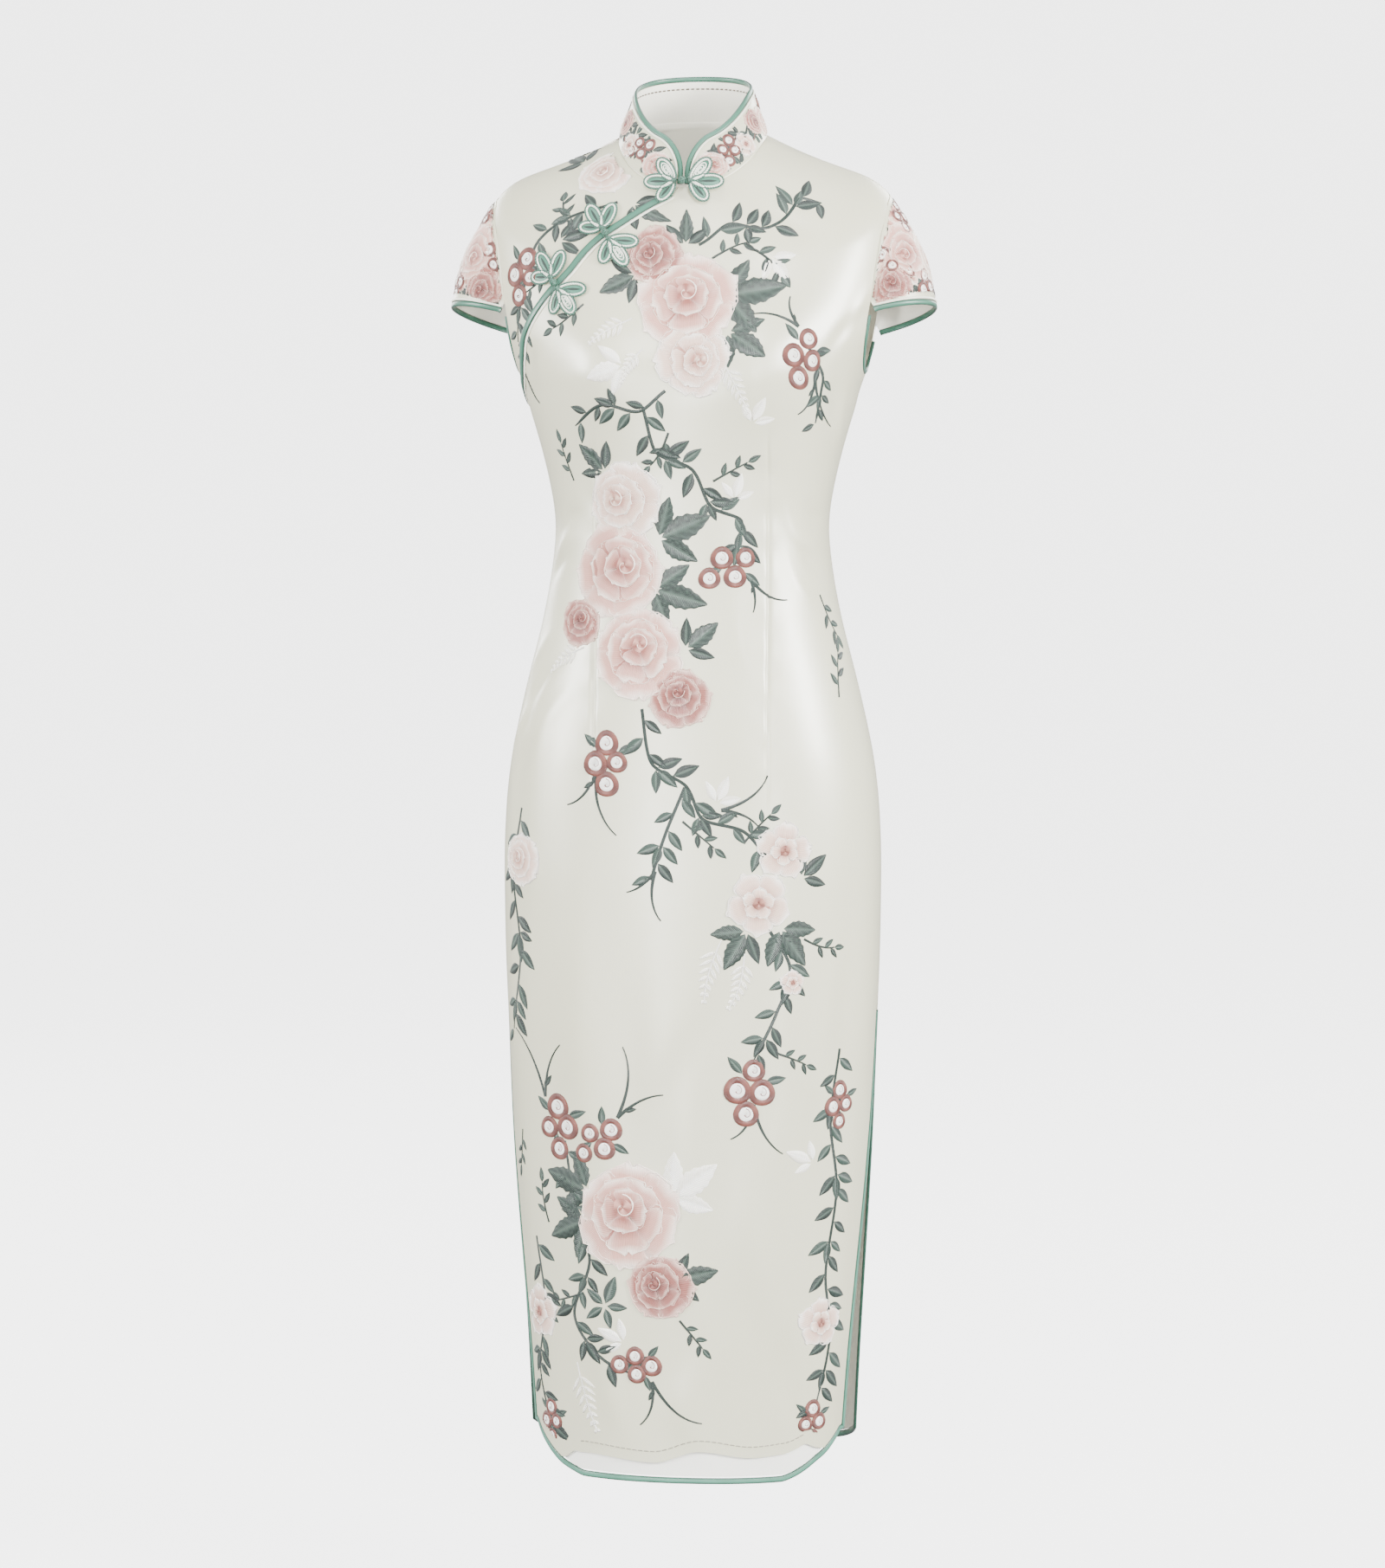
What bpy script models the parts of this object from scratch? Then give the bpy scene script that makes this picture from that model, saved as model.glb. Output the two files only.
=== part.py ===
"""Cheongsam dress in its worn form, held at the shoulders, with no wearer inside.

Every piece that is cut and sewn is one closed solid: cap sleeves, standing collar, hem band, bindings and
frog buttons. Only the front and the back panel are three solids each. The dress faces -Y and +X is the
wearer's left. The origin lies between the two points where the shoulder seams meet the collar. Tables and
sizes are in millimetres and degrees.

The cloth lies on one surface, body_point(angle, level). The angle runs round the wearer: 0 is the middle of
the front, 90 the wearer's left side, 180 the middle of the back. The level names a ring round the body by
the height that the ring has at the middle of the front.
"""

import math
from collections import namedtuple

import bpy
from mathutils import Vector

MM = 0.001

# Cloth, seams and trimmings
CLOTH = 1.5
COLLAR_CLOTH = 2.0
BAND_CLOTH = 1.2
SEAM_GAP = 0.3
ARMHOLE_GAP = 0.7
LAYER_GAP = 0.8
HEM_BINDING_WIDTH = 5.6
SLEEVE_BINDING_WIDTH = 5.0
COLLAR_BINDING_WIDTH = 4.6
ARMHOLE_BINDING_WIDTH = 4.0
OPENING_BINDING_WIDTH = 6.0
BINDING_THICKNESS = 2.8
OPENING_BINDING_THICKNESS = 1.8
OPENING_BINDING_LIFT = 0.6

# Levels of the main lines
NECK = -45
SHOULDER_TIP = -102
UNDERARM = -209
OPENING_END = -232
SLIT_TOP = -760
SLIT_BINDING_TOP = -774
FRONT_HEM = -1188
FRONT_CORNER_RISE = 38
BACK_HEM = -1186
BACK_CORNER_RISE = 27
HEM_ROWS_START = -1110

FRONT_COLUMNS = 23
BACK_COLUMNS = 18
UNDERLAP_COLUMNS = 7
# Rows between a curved hem and the first level ring, as shares of the way up
HEM_ROW_SHARES = (0.0, 0.35, 0.7)

# How square the rings are: 2 is an ellipse
RING_POWER = 2.2
# How a ring climbs from the chest to the shoulder, and behind from the shoulder to the neck
FRONT_CLIMB = 1.45
BACK_CLIMB = 1.6
NECK_CLIMB = 0.9
# The front draws in beside a slit, from the side to where the cosine of the angle reaches this
SLIT_DRAW_IN = 0.3
# A ring's side values are averaged over this many levels up and down, which rounds off the shoulder
SIDE_SOFTENING = 15

Skirt = namedtuple("Skirt", "level half_width front back")
SKIRT = [
    Skirt(-1230, 146.0, 91.0, 98.0),
    Skirt(-1190, 147.0, 91.5, 98.5),
    Skirt(-1100, 150.5, 93.0, 100.0),
    Skirt(-1000, 156.0, 96.0, 103.0),
    Skirt(-900, 161.5, 99.0, 107.0),
    Skirt(-800, 165.5, 102.0, 112.0),
    Skirt(-700, 169.0, 104.0, 117.0),
    Skirt(-640, 169.5, 105.0, 119.5),
    Skirt(-590, 167.5, 105.0, 121.0),
    Skirt(-550, 163.0, 105.0, 120.0),
    Skirt(-510, 155.0, 104.0, 116.0),
    Skirt(-470, 145.5, 101.5, 107.0),
    Skirt(-423, 133.5, 98.0, 95.0),
    Skirt(-377, 125.0, 96.5, 85.0),
    Skirt(-340, 121.5, 97.0, 82.0),
    Skirt(-307, 126.0, 99.0, 84.0),
    Skirt(-260, 137.5, 106.0, 91.0),
    Skirt(-225, 148.0, 111.0, 97.0),
]

Section = namedtuple("Section", "level side_x side_y side_z front_y back_y back_z")
YOKE = [
    Section(-209, 151, 0, -209, -112, 99, -209),
    Section(-197, 160, 1, -193, -111, 100, -190),
    Section(-181, 168, 2, -172, -108, 101, -166),
    Section(-163, 175, 3, -145, -103, 101, -139),
    Section(-142, 180, 5, -112, -96, 99, -108),
    Section(-121, 183, 6, -78, -89, 95, -78),
    Section(-102, 181, 8, -45, -83, 90, -49),
    Section(-88, 157, 8, -33, -78, 85, -32),
    Section(-73, 125, 7, -22, -74, 79, -16),
    Section(-59, 93, 6, -11, -70, 72, 0),
    Section(-45, 64, 5, 0, -66, 65, 16),
    Section(-38, 50, 4, 6, -64, 61, 24),
]
SECTIONS = [Section(s.level, s.half_width, 0, s.level, -s.front, s.back, s.level) for s in SKIRT] + YOKE

# Shaping that the darts give over the chest
Dart = namedtuple("Dart", "x level across down lift")
CHEST_SHAPE = Dart(x=74, level=-200, across=42, down=52, lift=12)

# The largest folds: soft ridges (+) and troughs (-) that run down from the waist
Fold = namedtuple("Fold", "angle top bottom width height")
FOLDS = [
    Fold(-34, -520, -1040, 8.0, 3.0),
    Fold(33, -500, -1080, 8.5, 2.6),
    Fold(-15, -640, -1160, 7.0, -2.2),
    Fold(13, -600, -1100, 7.5, -2.0),
    Fold(-62, -480, -760, 7.0, -2.2),
    Fold(60, -560, -940, 7.5, -2.4),
    Fold(146, -560, -1120, 8.5, 2.8),
    Fold(-148, -540, -1060, 8.0, 3.0),
    Fold(168, -640, -1160, 7.0, -2.0),
    Fold(-167, -600, -1120, 7.5, -2.2),
    Fold(118, -520, -900, 7.0, -2.2),
    Fold(-120, -560, -980, 7.0, -2.4),
]

# The armhole: how far round each ring the panels reach
Armhole = namedtuple("Armhole", "level front_angle back_angle")
ARMHOLE = [
    Armhole(-209, 90.0, 90.0),
    Armhole(-206, 83.0, 83.5),
    Armhole(-203, 80.0, 81.0),
    Armhole(-197, 76.0, 77.5),
    Armhole(-181, 69.5, 71.5),
    Armhole(-163, 67.0, 69.0),
    Armhole(-142, 66.0, 68.0),
    Armhole(-121, 68.0, 69.5),
    Armhole(-111, 73.0, 74.0),
    Armhole(-105, 80.0, 80.0),
    Armhole(-102, 90.0, 90.0),
]

# The slanting opening, from the side seam up to the middle of the neck
Opening = namedtuple("Opening", "level angle")
OPENING = [
    Opening(OPENING_END, -90.0),
    Opening(-221, -82.0),
    Opening(-208, -71.0),
    Opening(-178, -56.0),
    Opening(-149, -42.5),
    Opening(-121, -31.5),
    Opening(-87, -24.0),
    Opening(-66, -18.0),
    Opening(NECK, -3.0),
]
OPENING_HALF_GAP = 0.6

# The slits: the front draws in and the back stays wide
Slit = namedtuple("Slit", "level front_angle back_angle narrowing")
SLIT = [
    Slit(-1200, 16.0, 6.5, 0.045),
    Slit(-1050, 12.5, 5.6, 0.034),
    Slit(-900, 7.5, 4.2, 0.016),
    Slit(-800, 3.6, 3.3, 0.002),
    Slit(SLIT_BINDING_TOP, 3.1, 3.1, 0.0),
    Slit(SLIT_TOP, 0.0, 0.0, 0.0),
]

# The satin hem of the front waves above the bound edge of the hem band
SatinHem = namedtuple("SatinHem", "angle rise")
SATIN_HEM = [
    SatinHem(-46.0, 0.0),
    SatinHem(-42.0, 27.0),
    SatinHem(-37.0, 17.0),
    SatinHem(-10.0, 13.0),
    SatinHem(7.0, 24.0),
    SatinHem(27.0, 18.0),
    SatinHem(42.0, 20.0),
    SatinHem(53.0, 28.0),
    SatinHem(57.0, 0.0),
]
FRONT_CORNER_START = 40
FRONT_CORNER_POWER = 1.4
BACK_CORNER_POWER = 3
BAND_TOP = -1120
BAND_RIGHT = -52
BAND_LEFT = 63
# Over this angle the front's binding moves from behind the satin to behind the hem band
BAND_FADE = 8

# Cap sleeves: the levels on the armhole where the sleeve head starts and ends, and the hem's outer point
SLEEVE_FRONT_END = -158
SLEEVE_BACK_END = -176
SLEEVE_HEM_OUTER = Vector((216.0, 3.0, -144.0))
SLEEVE_END_DROP = Vector((2.6, 0.0, -4.2))
SLEEVE_FULLNESS = 6.0
SLEEVE_FLARE = 0.5
SLEEVE_PUFF_UP = 0.25
SLEEVE_COLUMNS = 18
SLEEVE_ROWS = 6
ARMHOLE_STEPS = 9
ARMHOLE_BINDING_FRONT = -167
ARMHOLE_BINDING_BACK = -187

# Standing collar
COLLAR_RISE = 38.0
COLLAR_LIFT = 0.5
COLLAR_STEP_UP = 1.0
COLLAR_TOP_SCALE = 0.81
COLLAR_TOP_LEAN = 2.5
COLLAR_MIDDLE_Y = 2.0
COLLAR_FRONT_ANGLE = 5.2
COLLAR_FRONT_RISE = 10.0
COLLAR_CORNER_ANGLE = 26.0
COLLAR_CORNER_COLUMNS = 8
COLLAR_SIDE_COLUMNS = 15
COLLAR_ROWS = 3
COLLAR_BINDING_ENDS = (2.0, 6.0)

# Frog buttons
CORD_RADIUS = 1.6
CORD_CLEARANCE = 0.6
FROG_ARCH = 2.3
Loop = namedtuple("Loop", "heading length width")
SCROLL_LOOPS = [Loop(52, 24, 13), Loop(2, 27, 13), Loop(-46, 20, 12)]
LOOP_ROOT = 1.2
LOOP_STATIONS = 11
LOOP_SIDES = 4
# A loop is this wide at its middle as a share of its width, and this much narrower or wider at its ends
LOOP_WIDTH_SHARE = 0.88
LOOP_EGG = 0.12
# Near the knot the loops arch up over the binding, and come down over this length
LOOP_ARCH = 0.6
LOOP_ARCH_LENGTH = 6
KNOT_RADIUS = 3.4
ROOT_RADIUS = 2.4
ROOT_DISTANCE = KNOT_RADIUS + ROOT_RADIUS + 2 * SEAM_GAP
Frog = namedtuple("Frog", "name angle level turn")
CHEST_FROGS = [
    Frog("chest_frog", -24.3, -92, -55.0),
    Frog("side_frog", -37.5, -137, -52.0),
]
NECK_FROG_CENTRE = Vector((0.0, -69.2, -41.0))
NECK_FROG_LEAN_ABOVE = 0.40
NECK_FROG_LEAN_BELOW = 0.27
NECK_FROG_ROUND = 80.0

SIDES = {"left": 1, "right": -1}

Finish = namedtuple("Finish", "colour roughness metallic")
FINISHES = {
    "ivory_satin": Finish((0.80, 0.80, 0.74, 1.0), 0.36, 0.0),
    "plain_lining": Finish((0.82, 0.80, 0.73, 1.0), 0.62, 0.0),
    "mint_binding": Finish((0.20, 0.40, 0.31, 1.0), 0.42, 0.0),
    "mint_cord": Finish((0.52, 0.72, 0.62, 1.0), 0.45, 0.0),
}


# ---------------------------------------------------------------- reading the tables
def slopes(keys, values):
    """Slopes of a smooth curve through the values that never swings past them."""
    steps = [(values[i + 1] - values[i]) / (keys[i + 1] - keys[i]) for i in range(len(keys) - 1)]
    found = [steps[0]]
    for before, after in zip(steps, steps[1:]):
        found.append(0.0 if before * after <= 0 else 2 * before * after / (before + after))
    return found + [steps[-1]]


def read(table, column, key, key_column="level"):
    """The column's value at key, on a smooth curve through the table's rows."""
    keys = [getattr(row, key_column) for row in table]
    values = [getattr(row, column) for row in table]
    tangents = slopes(keys, values)
    if key <= keys[0]:
        return values[0] + tangents[0] * (key - keys[0])
    if key >= keys[-1]:
        return values[-1] + tangents[-1] * (key - keys[-1])
    i = max(n for n in range(len(keys) - 1) if keys[n] <= key)
    width = keys[i + 1] - keys[i]
    t = (key - keys[i]) / width
    ahead = t * t * (3 - 2 * t)
    return (
        values[i] * (1 - ahead)
        + values[i + 1] * ahead
        + width * t * (1 - t) * (tangents[i] * (1 - t) - tangents[i + 1] * t)
    )


def spaced(start, end, count):
    """count values from start towards end, without the end itself."""
    return [start + (end - start) * i / count for i in range(count)]


def smooth_step(value):
    value = min(max(value, 0.0), 1.0)
    return value * value * (3 - 2 * value)


# ---------------------------------------------------------------- the surface of the cloth
SECTION_CACHE = {}
SIDE_CACHE = {}


def section(level):
    """Every column of the body table at this level."""
    key = round(level, 4)
    if key not in SECTION_CACHE:
        SECTION_CACHE[key] = Section(level, *(read(SECTIONS, c, level) for c in Section._fields[1:]))
    return SECTION_CACHE[key]


def side_values(level):
    """side_x, side_y and side_z of a ring, averaged over the rings near it."""
    key = round(level, 4)
    if key not in SIDE_CACHE:
        near = [section(level + SIDE_SOFTENING * step / 2) for step in (-2, -1, 0, 1, 2)]
        SIDE_CACHE[key] = [
            sum(getattr(ring, column) for ring in near) / len(near)
            for column in ("side_x", "side_y", "side_z")
        ]
    return SIDE_CACHE[key]


def signed_angle(angle):
    return (angle + 180) % 360 - 180


def fold_height(angle, level):
    """How far the folds lift the cloth at this place."""
    total = 0.0
    for fold in FOLDS:
        along = (fold.top - level) / (fold.top - fold.bottom)
        if 0 < along < 1:
            across = signed_angle(angle - fold.angle) / fold.width
            total += fold.height * math.sin(math.pi * along) ** 2 * math.exp(-across * across)
    return total


def body_point(angle, level):
    """A point of the cloth's outer face, in millimetres."""
    ring = section(level)
    sine = math.sin(math.radians(angle))
    cosine = math.cos(math.radians(angle))
    depth = max(1 - abs(sine) ** RING_POWER, 0.0) ** (1 / RING_POWER)
    side_x, side_y, side_z = side_values(level)
    if cosine >= 0:
        narrowing = read(SLIT, "narrowing", level) if level < SLIT_TOP else 0.0
        x = side_x * sine * (1 - narrowing * smooth_step(cosine / SLIT_DRAW_IN))
        y = side_y + (ring.front_y - side_y) * depth
        z = side_z + (level - side_z) * depth**FRONT_CLIMB
        across = (abs(x) - CHEST_SHAPE.x) / CHEST_SHAPE.across
        down = (level - CHEST_SHAPE.level) / CHEST_SHAPE.down
        y -= CHEST_SHAPE.lift * depth * math.exp(-across * across - down * down)
    else:
        at_neck = smooth_step((level - SHOULDER_TIP) / (NECK - SHOULDER_TIP))
        climb = BACK_CLIMB + (NECK_CLIMB - BACK_CLIMB) * at_neck
        x = side_x * sine
        y = side_y + (ring.back_y - side_y) * depth
        z = side_z + (ring.back_z - side_z) * depth**climb
    lift = fold_height(angle, level)
    return Vector((x + lift * sine, y - lift * cosine, z))


def body_normal(angle, level):
    """The outward direction of the cloth there."""
    round_step, up_step = 1.0, 2.0
    round_way = body_point(angle + round_step, level) - body_point(angle - round_step, level)
    up_way = body_point(angle, level + up_step) - body_point(angle, level - up_step)
    return round_way.cross(up_way).normalized()


def body_spot(angle, level):
    return body_point(angle, level), body_normal(angle, level)


def seam_angle(level):
    """Half a seam gap at the side or shoulder seam, as an angle."""
    one_degree = (body_point(90, level) - body_point(89, level)).length
    return 0.55 * SEAM_GAP / one_degree


# ---------------------------------------------------------------- where the panels end
def front_reach(level):
    """How far round the front reaches on either side at this level."""
    if level < SLIT_TOP:
        return 90 - seam_angle(level) - read(SLIT, "front_angle", level)
    if UNDERARM < level < SHOULDER_TIP:
        return min(read(ARMHOLE, "front_angle", level), 90 - seam_angle(level))
    return 90 - seam_angle(level)


def back_reach(level):
    """The same for the back, measured from the middle of the back."""
    if level < SLIT_TOP:
        return 90 - seam_angle(level) - read(SLIT, "back_angle", level)
    if UNDERARM < level < SHOULDER_TIP:
        return min(read(ARMHOLE, "back_angle", level), 90 - seam_angle(level))
    return 90 - seam_angle(level)


def opening_gap(level):
    return math.degrees(OPENING_HALF_GAP / section(level).side_x)


def front_span(level):
    """The front panel's two ends on a ring: the slanting opening cuts off its right end."""
    right = -front_reach(level)
    if level > OPENING_END:
        right = max(right, read(OPENING, "angle", level) + opening_gap(level))
    return right, front_reach(level)


def underlap_span(level):
    return -front_reach(level), read(OPENING, "angle", level) - opening_gap(level)


def back_span(level):
    return 180 - back_reach(level), 180 + back_reach(level)


def front_hem(angle):
    """Level of the front's bound edge, less the binding: it rises in the rounded corners."""
    reach = front_reach(FRONT_HEM)
    along = max(abs(angle) - FRONT_CORNER_START, 0.0) / (reach - FRONT_CORNER_START)
    rise = FRONT_CORNER_RISE * min(along, 1.0) ** FRONT_CORNER_POWER
    return FRONT_HEM + HEM_BINDING_WIDTH + SEAM_GAP + rise


def satin_hem(angle):
    """Level where the satin of the front ends."""
    inside = SATIN_HEM[0].angle < angle < SATIN_HEM[-1].angle
    return front_hem(angle) + (read(SATIN_HEM, "rise", angle, "angle") if inside else 0.0)


def back_hem(angle):
    """Level of the back's bound edge, less the binding: it sweeps up a little to the slits."""
    along = abs(signed_angle(angle - 180)) / back_reach(BACK_HEM)
    rise = BACK_CORNER_RISE * min(along, 1.0) ** BACK_CORNER_POWER
    return BACK_HEM + HEM_BINDING_WIDTH + SEAM_GAP + rise


WAIST = -346
# Each panel is three solids with a hairline between them, so that hulls round them follow the hollow inside
HALF_SPLIT = 0.15
SKIRT_LEVELS = spaced(HEM_ROWS_START, SLIT_BINDING_TOP, 7) + [SLIT_BINDING_TOP, SLIT_TOP - HALF_SPLIT]
HIP_LEVELS = [SLIT_TOP + HALF_SPLIT] + spaced(SLIT_TOP, WAIST, 9)[1:] + [WAIST - HALF_SPLIT]
BODICE_LEVELS = [WAIST + HALF_SPLIT] + spaced(WAIST, OPENING_END, 4)[1:]
YOKE_LEVELS = [
    OPENING_END, -224, -216, UNDERARM, -206, -203, -197, -188, -177, -165, -153,
    -141, -130, -119, -110, -105, SHOULDER_TIP, -93, -82, -70, -58, NECK,
]  # fmt: skip
UNDERLAP_START = -226


# ---------------------------------------------------------------- building meshes
def finish_material(name):
    """The named material, made once."""
    material = bpy.data.materials.get(name)
    if material is None:
        finish = FINISHES[name]
        material = bpy.data.materials.new(name)
        material.use_nodes = True
        shader = material.node_tree.nodes["Principled BSDF"]
        shader.inputs["Base Color"].default_value = finish.colour
        shader.inputs["Roughness"].default_value = finish.roughness
        shader.inputs["Metallic"].default_value = finish.metallic
        material.diffuse_color = finish.colour
    return material


def add_solid(name, points, faces, finish):
    """A named object from points in millimetres."""
    mesh = bpy.data.meshes.new(name)
    mesh.from_pydata([tuple(p * MM for p in point) for point in points], [], faces)
    mesh.materials.append(finish_material(finish))
    mesh.shade_smooth()
    mesh.set_sharp_from_angle(angle=math.radians(50))
    solid = bpy.data.objects.new(name, mesh)
    bpy.context.scene.collection.objects.link(solid)
    return solid


def add_wall(name, sheet, thickness, finish, depth=0.0):
    """A closed wall from rows of (point, outward direction), depth below them. Rows run upwards and each
    runs towards rising angles, so that the outer face looks out."""
    rows, columns = len(sheet), len(sheet[0])
    outer = [p - n * depth for row in sheet for p, n in row]
    inner = [p - n * (depth + thickness) for row in sheet for p, n in row]
    count = rows * columns

    def at(row, column):
        return row * columns + column

    faces = []
    for r in range(rows - 1):
        for c in range(columns - 1):
            corners = [at(r, c), at(r, c + 1), at(r + 1, c + 1), at(r + 1, c)]
            faces.append(corners)
            faces.append([i + count for i in reversed(corners)])
    rim = [at(0, c) for c in range(columns)]
    rim += [at(r, columns - 1) for r in range(1, rows)]
    rim += [at(rows - 1, c) for c in range(columns - 2, -1, -1)]
    rim += [at(r, 0) for r in range(rows - 2, 0, -1)]
    for here, there in zip(rim, rim[1:] + rim[:1]):
        faces.append([here, here + count, there + count, there])
    return add_solid(name, outer + inner, faces, finish)


def add_bar(name, stations, width, thickness, finish):
    """A closed bar of six sides through stations of (centre, across, out)."""
    points, faces = [], []
    sides = 6
    for centre, across, out in stations:
        for i in range(sides):
            turn = math.tau * i / sides
            points.append(
                centre + across * (width / 2 * math.cos(turn)) + out * (thickness / 2 * math.sin(turn))
            )
    for s in range(len(stations) - 1):
        for i in range(sides):
            j = (i + 1) % sides
            faces.append([s * sides + i, (s + 1) * sides + i, (s + 1) * sides + j, s * sides + j])
    last = (len(stations) - 1) * sides
    faces.append(list(range(sides)))
    faces.append([last + i for i in reversed(range(sides))])
    return add_solid(name, points, outward(points, faces), finish)


def outward(points, faces):
    """The faces turned so that they enclose a positive volume."""
    volume = 0.0
    for face in faces:
        first = points[face[0]]
        for second, third in zip(face[1:], face[2:]):
            volume += first.dot(points[second].cross(points[third]))
    return faces if volume > 0 else [list(reversed(face)) for face in faces]


def edge_stations(edge, offset, depth):
    """Stations beside an edge of (point, outward direction): offset to the edge's right as one walks it
    with the outside of the cloth facing up, and depth below the outer face."""
    stations = []
    for i, (point, out) in enumerate(edge):
        before = edge[max(i - 1, 0)][0]
        after = edge[min(i + 1, len(edge) - 1)][0]
        ways = [w.normalized() for w in (point - before, after - point) if w.length > 1e-6]
        walk = sum(ways, Vector()).normalized()
        spread = min(1 / max(walk.dot(ways[0]), 0.6), 1.5)
        beside = walk.cross(out).normalized()
        sunk = depth[i] if isinstance(depth, list) else depth
        stations.append((point + beside * (offset * spread) - out * sunk, beside, out))
    return stations


def add_edge_binding(name, edge, width, depth, gap=SEAM_GAP):
    stations = edge_stations(edge, gap + width / 2, depth)
    return add_bar(name, stations, width, BINDING_THICKNESS, "mint_binding")


# ---------------------------------------------------------------- panels
def panel_sheet(levels, span, columns, hem=None):
    """Rows of spots between the span's two ends. With a hem, the rows below the first level follow it."""
    sheet = []
    if hem:
        for share in HEM_ROW_SHARES:
            row = []
            for c in range(columns + 1):
                right, left = span(levels[0])
                angle = right + (left - right) * c / columns
                level = hem(angle) + (levels[0] - hem(angle)) * share
                right, left = span(level)
                row.append(body_spot(right + (left - right) * c / columns, level))
            sheet.append(row)
    for level in levels:
        right, left = span(level)
        sheet.append([body_spot(right + (left - right) * c / columns, level) for c in range(columns + 1)])
    return sheet


def make_panels():
    parts = {"skirt": SKIRT_LEVELS, "hips": HIP_LEVELS, "bodice": BODICE_LEVELS + YOKE_LEVELS}
    for part, levels in parts.items():
        in_skirt = part == "skirt"
        front = panel_sheet(levels, front_span, FRONT_COLUMNS, satin_hem if in_skirt else None)
        add_wall(f"front_panel_{part}", front, CLOTH, "ivory_satin")
        back = panel_sheet(levels, back_span, BACK_COLUMNS, back_hem if in_skirt else None)
        add_wall(f"back_panel_{part}", back, CLOTH, "ivory_satin")
    underlap = panel_sheet([UNDERLAP_START] + YOKE_LEVELS[2:], underlap_span, UNDERLAP_COLUMNS)
    add_wall("chest_underlap", underlap, CLOTH, "ivory_satin")


def band_span(level):
    return BAND_RIGHT, BAND_LEFT


def make_hem_band():
    """The plain layer under the front's satin hem."""
    sheet = panel_sheet([BAND_TOP], band_span, FRONT_COLUMNS, lambda angle: front_hem(angle) + LAYER_GAP)
    add_wall("front_hem_band", sheet, BAND_CLOTH, "plain_lining", depth=CLOTH + LAYER_GAP)


# ---------------------------------------------------------------- bindings of slits and hems
def bound_edge(span, hem, columns):
    """Down one slit, along the hem and up the other slit: (point, outward direction, angle)."""
    slit_levels = spaced(SLIT_BINDING_TOP, HEM_ROWS_START, 14)
    corner_angles = span(HEM_ROWS_START)
    rights = [(span(level)[0], level) for level in slit_levels]
    lefts = [(span(level)[1], level) for level in slit_levels]
    for corner, places in zip(corner_angles, (rights, lefts)):
        end = hem(corner)
        places += [(corner_reach(span, corner, level), level) for level in spaced(HEM_ROWS_START, end, 4)]
    bottom = []
    for c in range(columns + 1):
        angle = corner_angles[0] + (corner_angles[1] - corner_angles[0]) * c / columns
        level = hem(angle)
        right, left = span(level)
        bottom.append((right + (left - right) * c / columns, level))
    return [(*body_spot(*place), place[0]) for place in rights + bottom + lefts[::-1]]


def corner_reach(span, corner, level):
    """The end of the span on the corner's side."""
    return min(span(level), key=lambda end: abs(end - corner))


def make_slit_bindings():
    front = bound_edge(front_span, front_hem, FRONT_COLUMNS)
    depths = []
    for _, _, angle in front:
        in_band = min(angle - SATIN_HEM[0].angle, SATIN_HEM[-1].angle - angle) / BAND_FADE
        on_hem = smooth_step(in_band)
        depths.append(CLOTH / 2 + on_hem * (LAYER_GAP + CLOTH / 2 + BAND_CLOTH / 2))
    front_edge = [(point, out) for point, out, _ in front]
    add_edge_binding("front_binding", front_edge, HEM_BINDING_WIDTH, depths)
    back_edge = [(point, out) for point, out, _ in bound_edge(back_span, back_hem, BACK_COLUMNS)]
    add_edge_binding("back_binding", back_edge, HEM_BINDING_WIDTH, CLOTH / 2)


def make_opening_binding():
    """The strip that lies on the front's slanting edge."""
    levels = spaced(NECK - 6, -90, 4) + spaced(-90, -210, 10) + spaced(-210, OPENING_END + 2, 5)
    spots = [body_spot(read(OPENING, "angle", level), level) for level in levels]
    lift = OPENING_BINDING_LIFT + OPENING_BINDING_THICKNESS / 2
    stations = edge_stations(spots, 0.0, -lift)
    add_bar(
        "opening_binding", stations, OPENING_BINDING_WIDTH, OPENING_BINDING_THICKNESS, "mint_binding"
    )


# ---------------------------------------------------------------- armholes and sleeves
def armhole_line(front_level, back_level, through):
    """(angle, level) along the armhole from the front to the back, over the shoulder or under the arm."""
    steps = ARMHOLE_STEPS
    fronts = [front_level + (through - front_level) * (i / steps) ** 0.7 for i in range(steps)]
    backs = [through + (back_level - through) * (i / steps) ** 1.4 for i in range(steps + 1)]
    line = [(read(ARMHOLE, "front_angle", level), level) for level in fronts]
    return line + [(180 - read(ARMHOLE, "back_angle", level), level) for level in backs]


def resampled(spots, count):
    """count + 1 spots evenly spaced along a line of (point, direction)."""
    lengths = [0.0]
    for (here, _), (there, _) in zip(spots, spots[1:]):
        lengths.append(lengths[-1] + (there - here).length)
    found = []
    for i in range(count + 1):
        target = lengths[-1] * i / count
        n = max(k for k in range(len(spots) - 1) if lengths[k] <= target + 1e-9)
        share = (target - lengths[n]) / max(lengths[n + 1] - lengths[n], 1e-9)
        found.append(
            (
                spots[n][0].lerp(spots[n + 1][0], share),
                spots[n][1].lerp(spots[n + 1][1], share).normalized(),
            )
        )
    return found


def mirrored(spots, side):
    """The spots for the wearer's left as they are, for the right mirrored across the middle."""
    return [(Vector((side * p.x, p.y, p.z)), Vector((side * n.x, n.y, n.z))) for p, n in spots]


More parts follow.
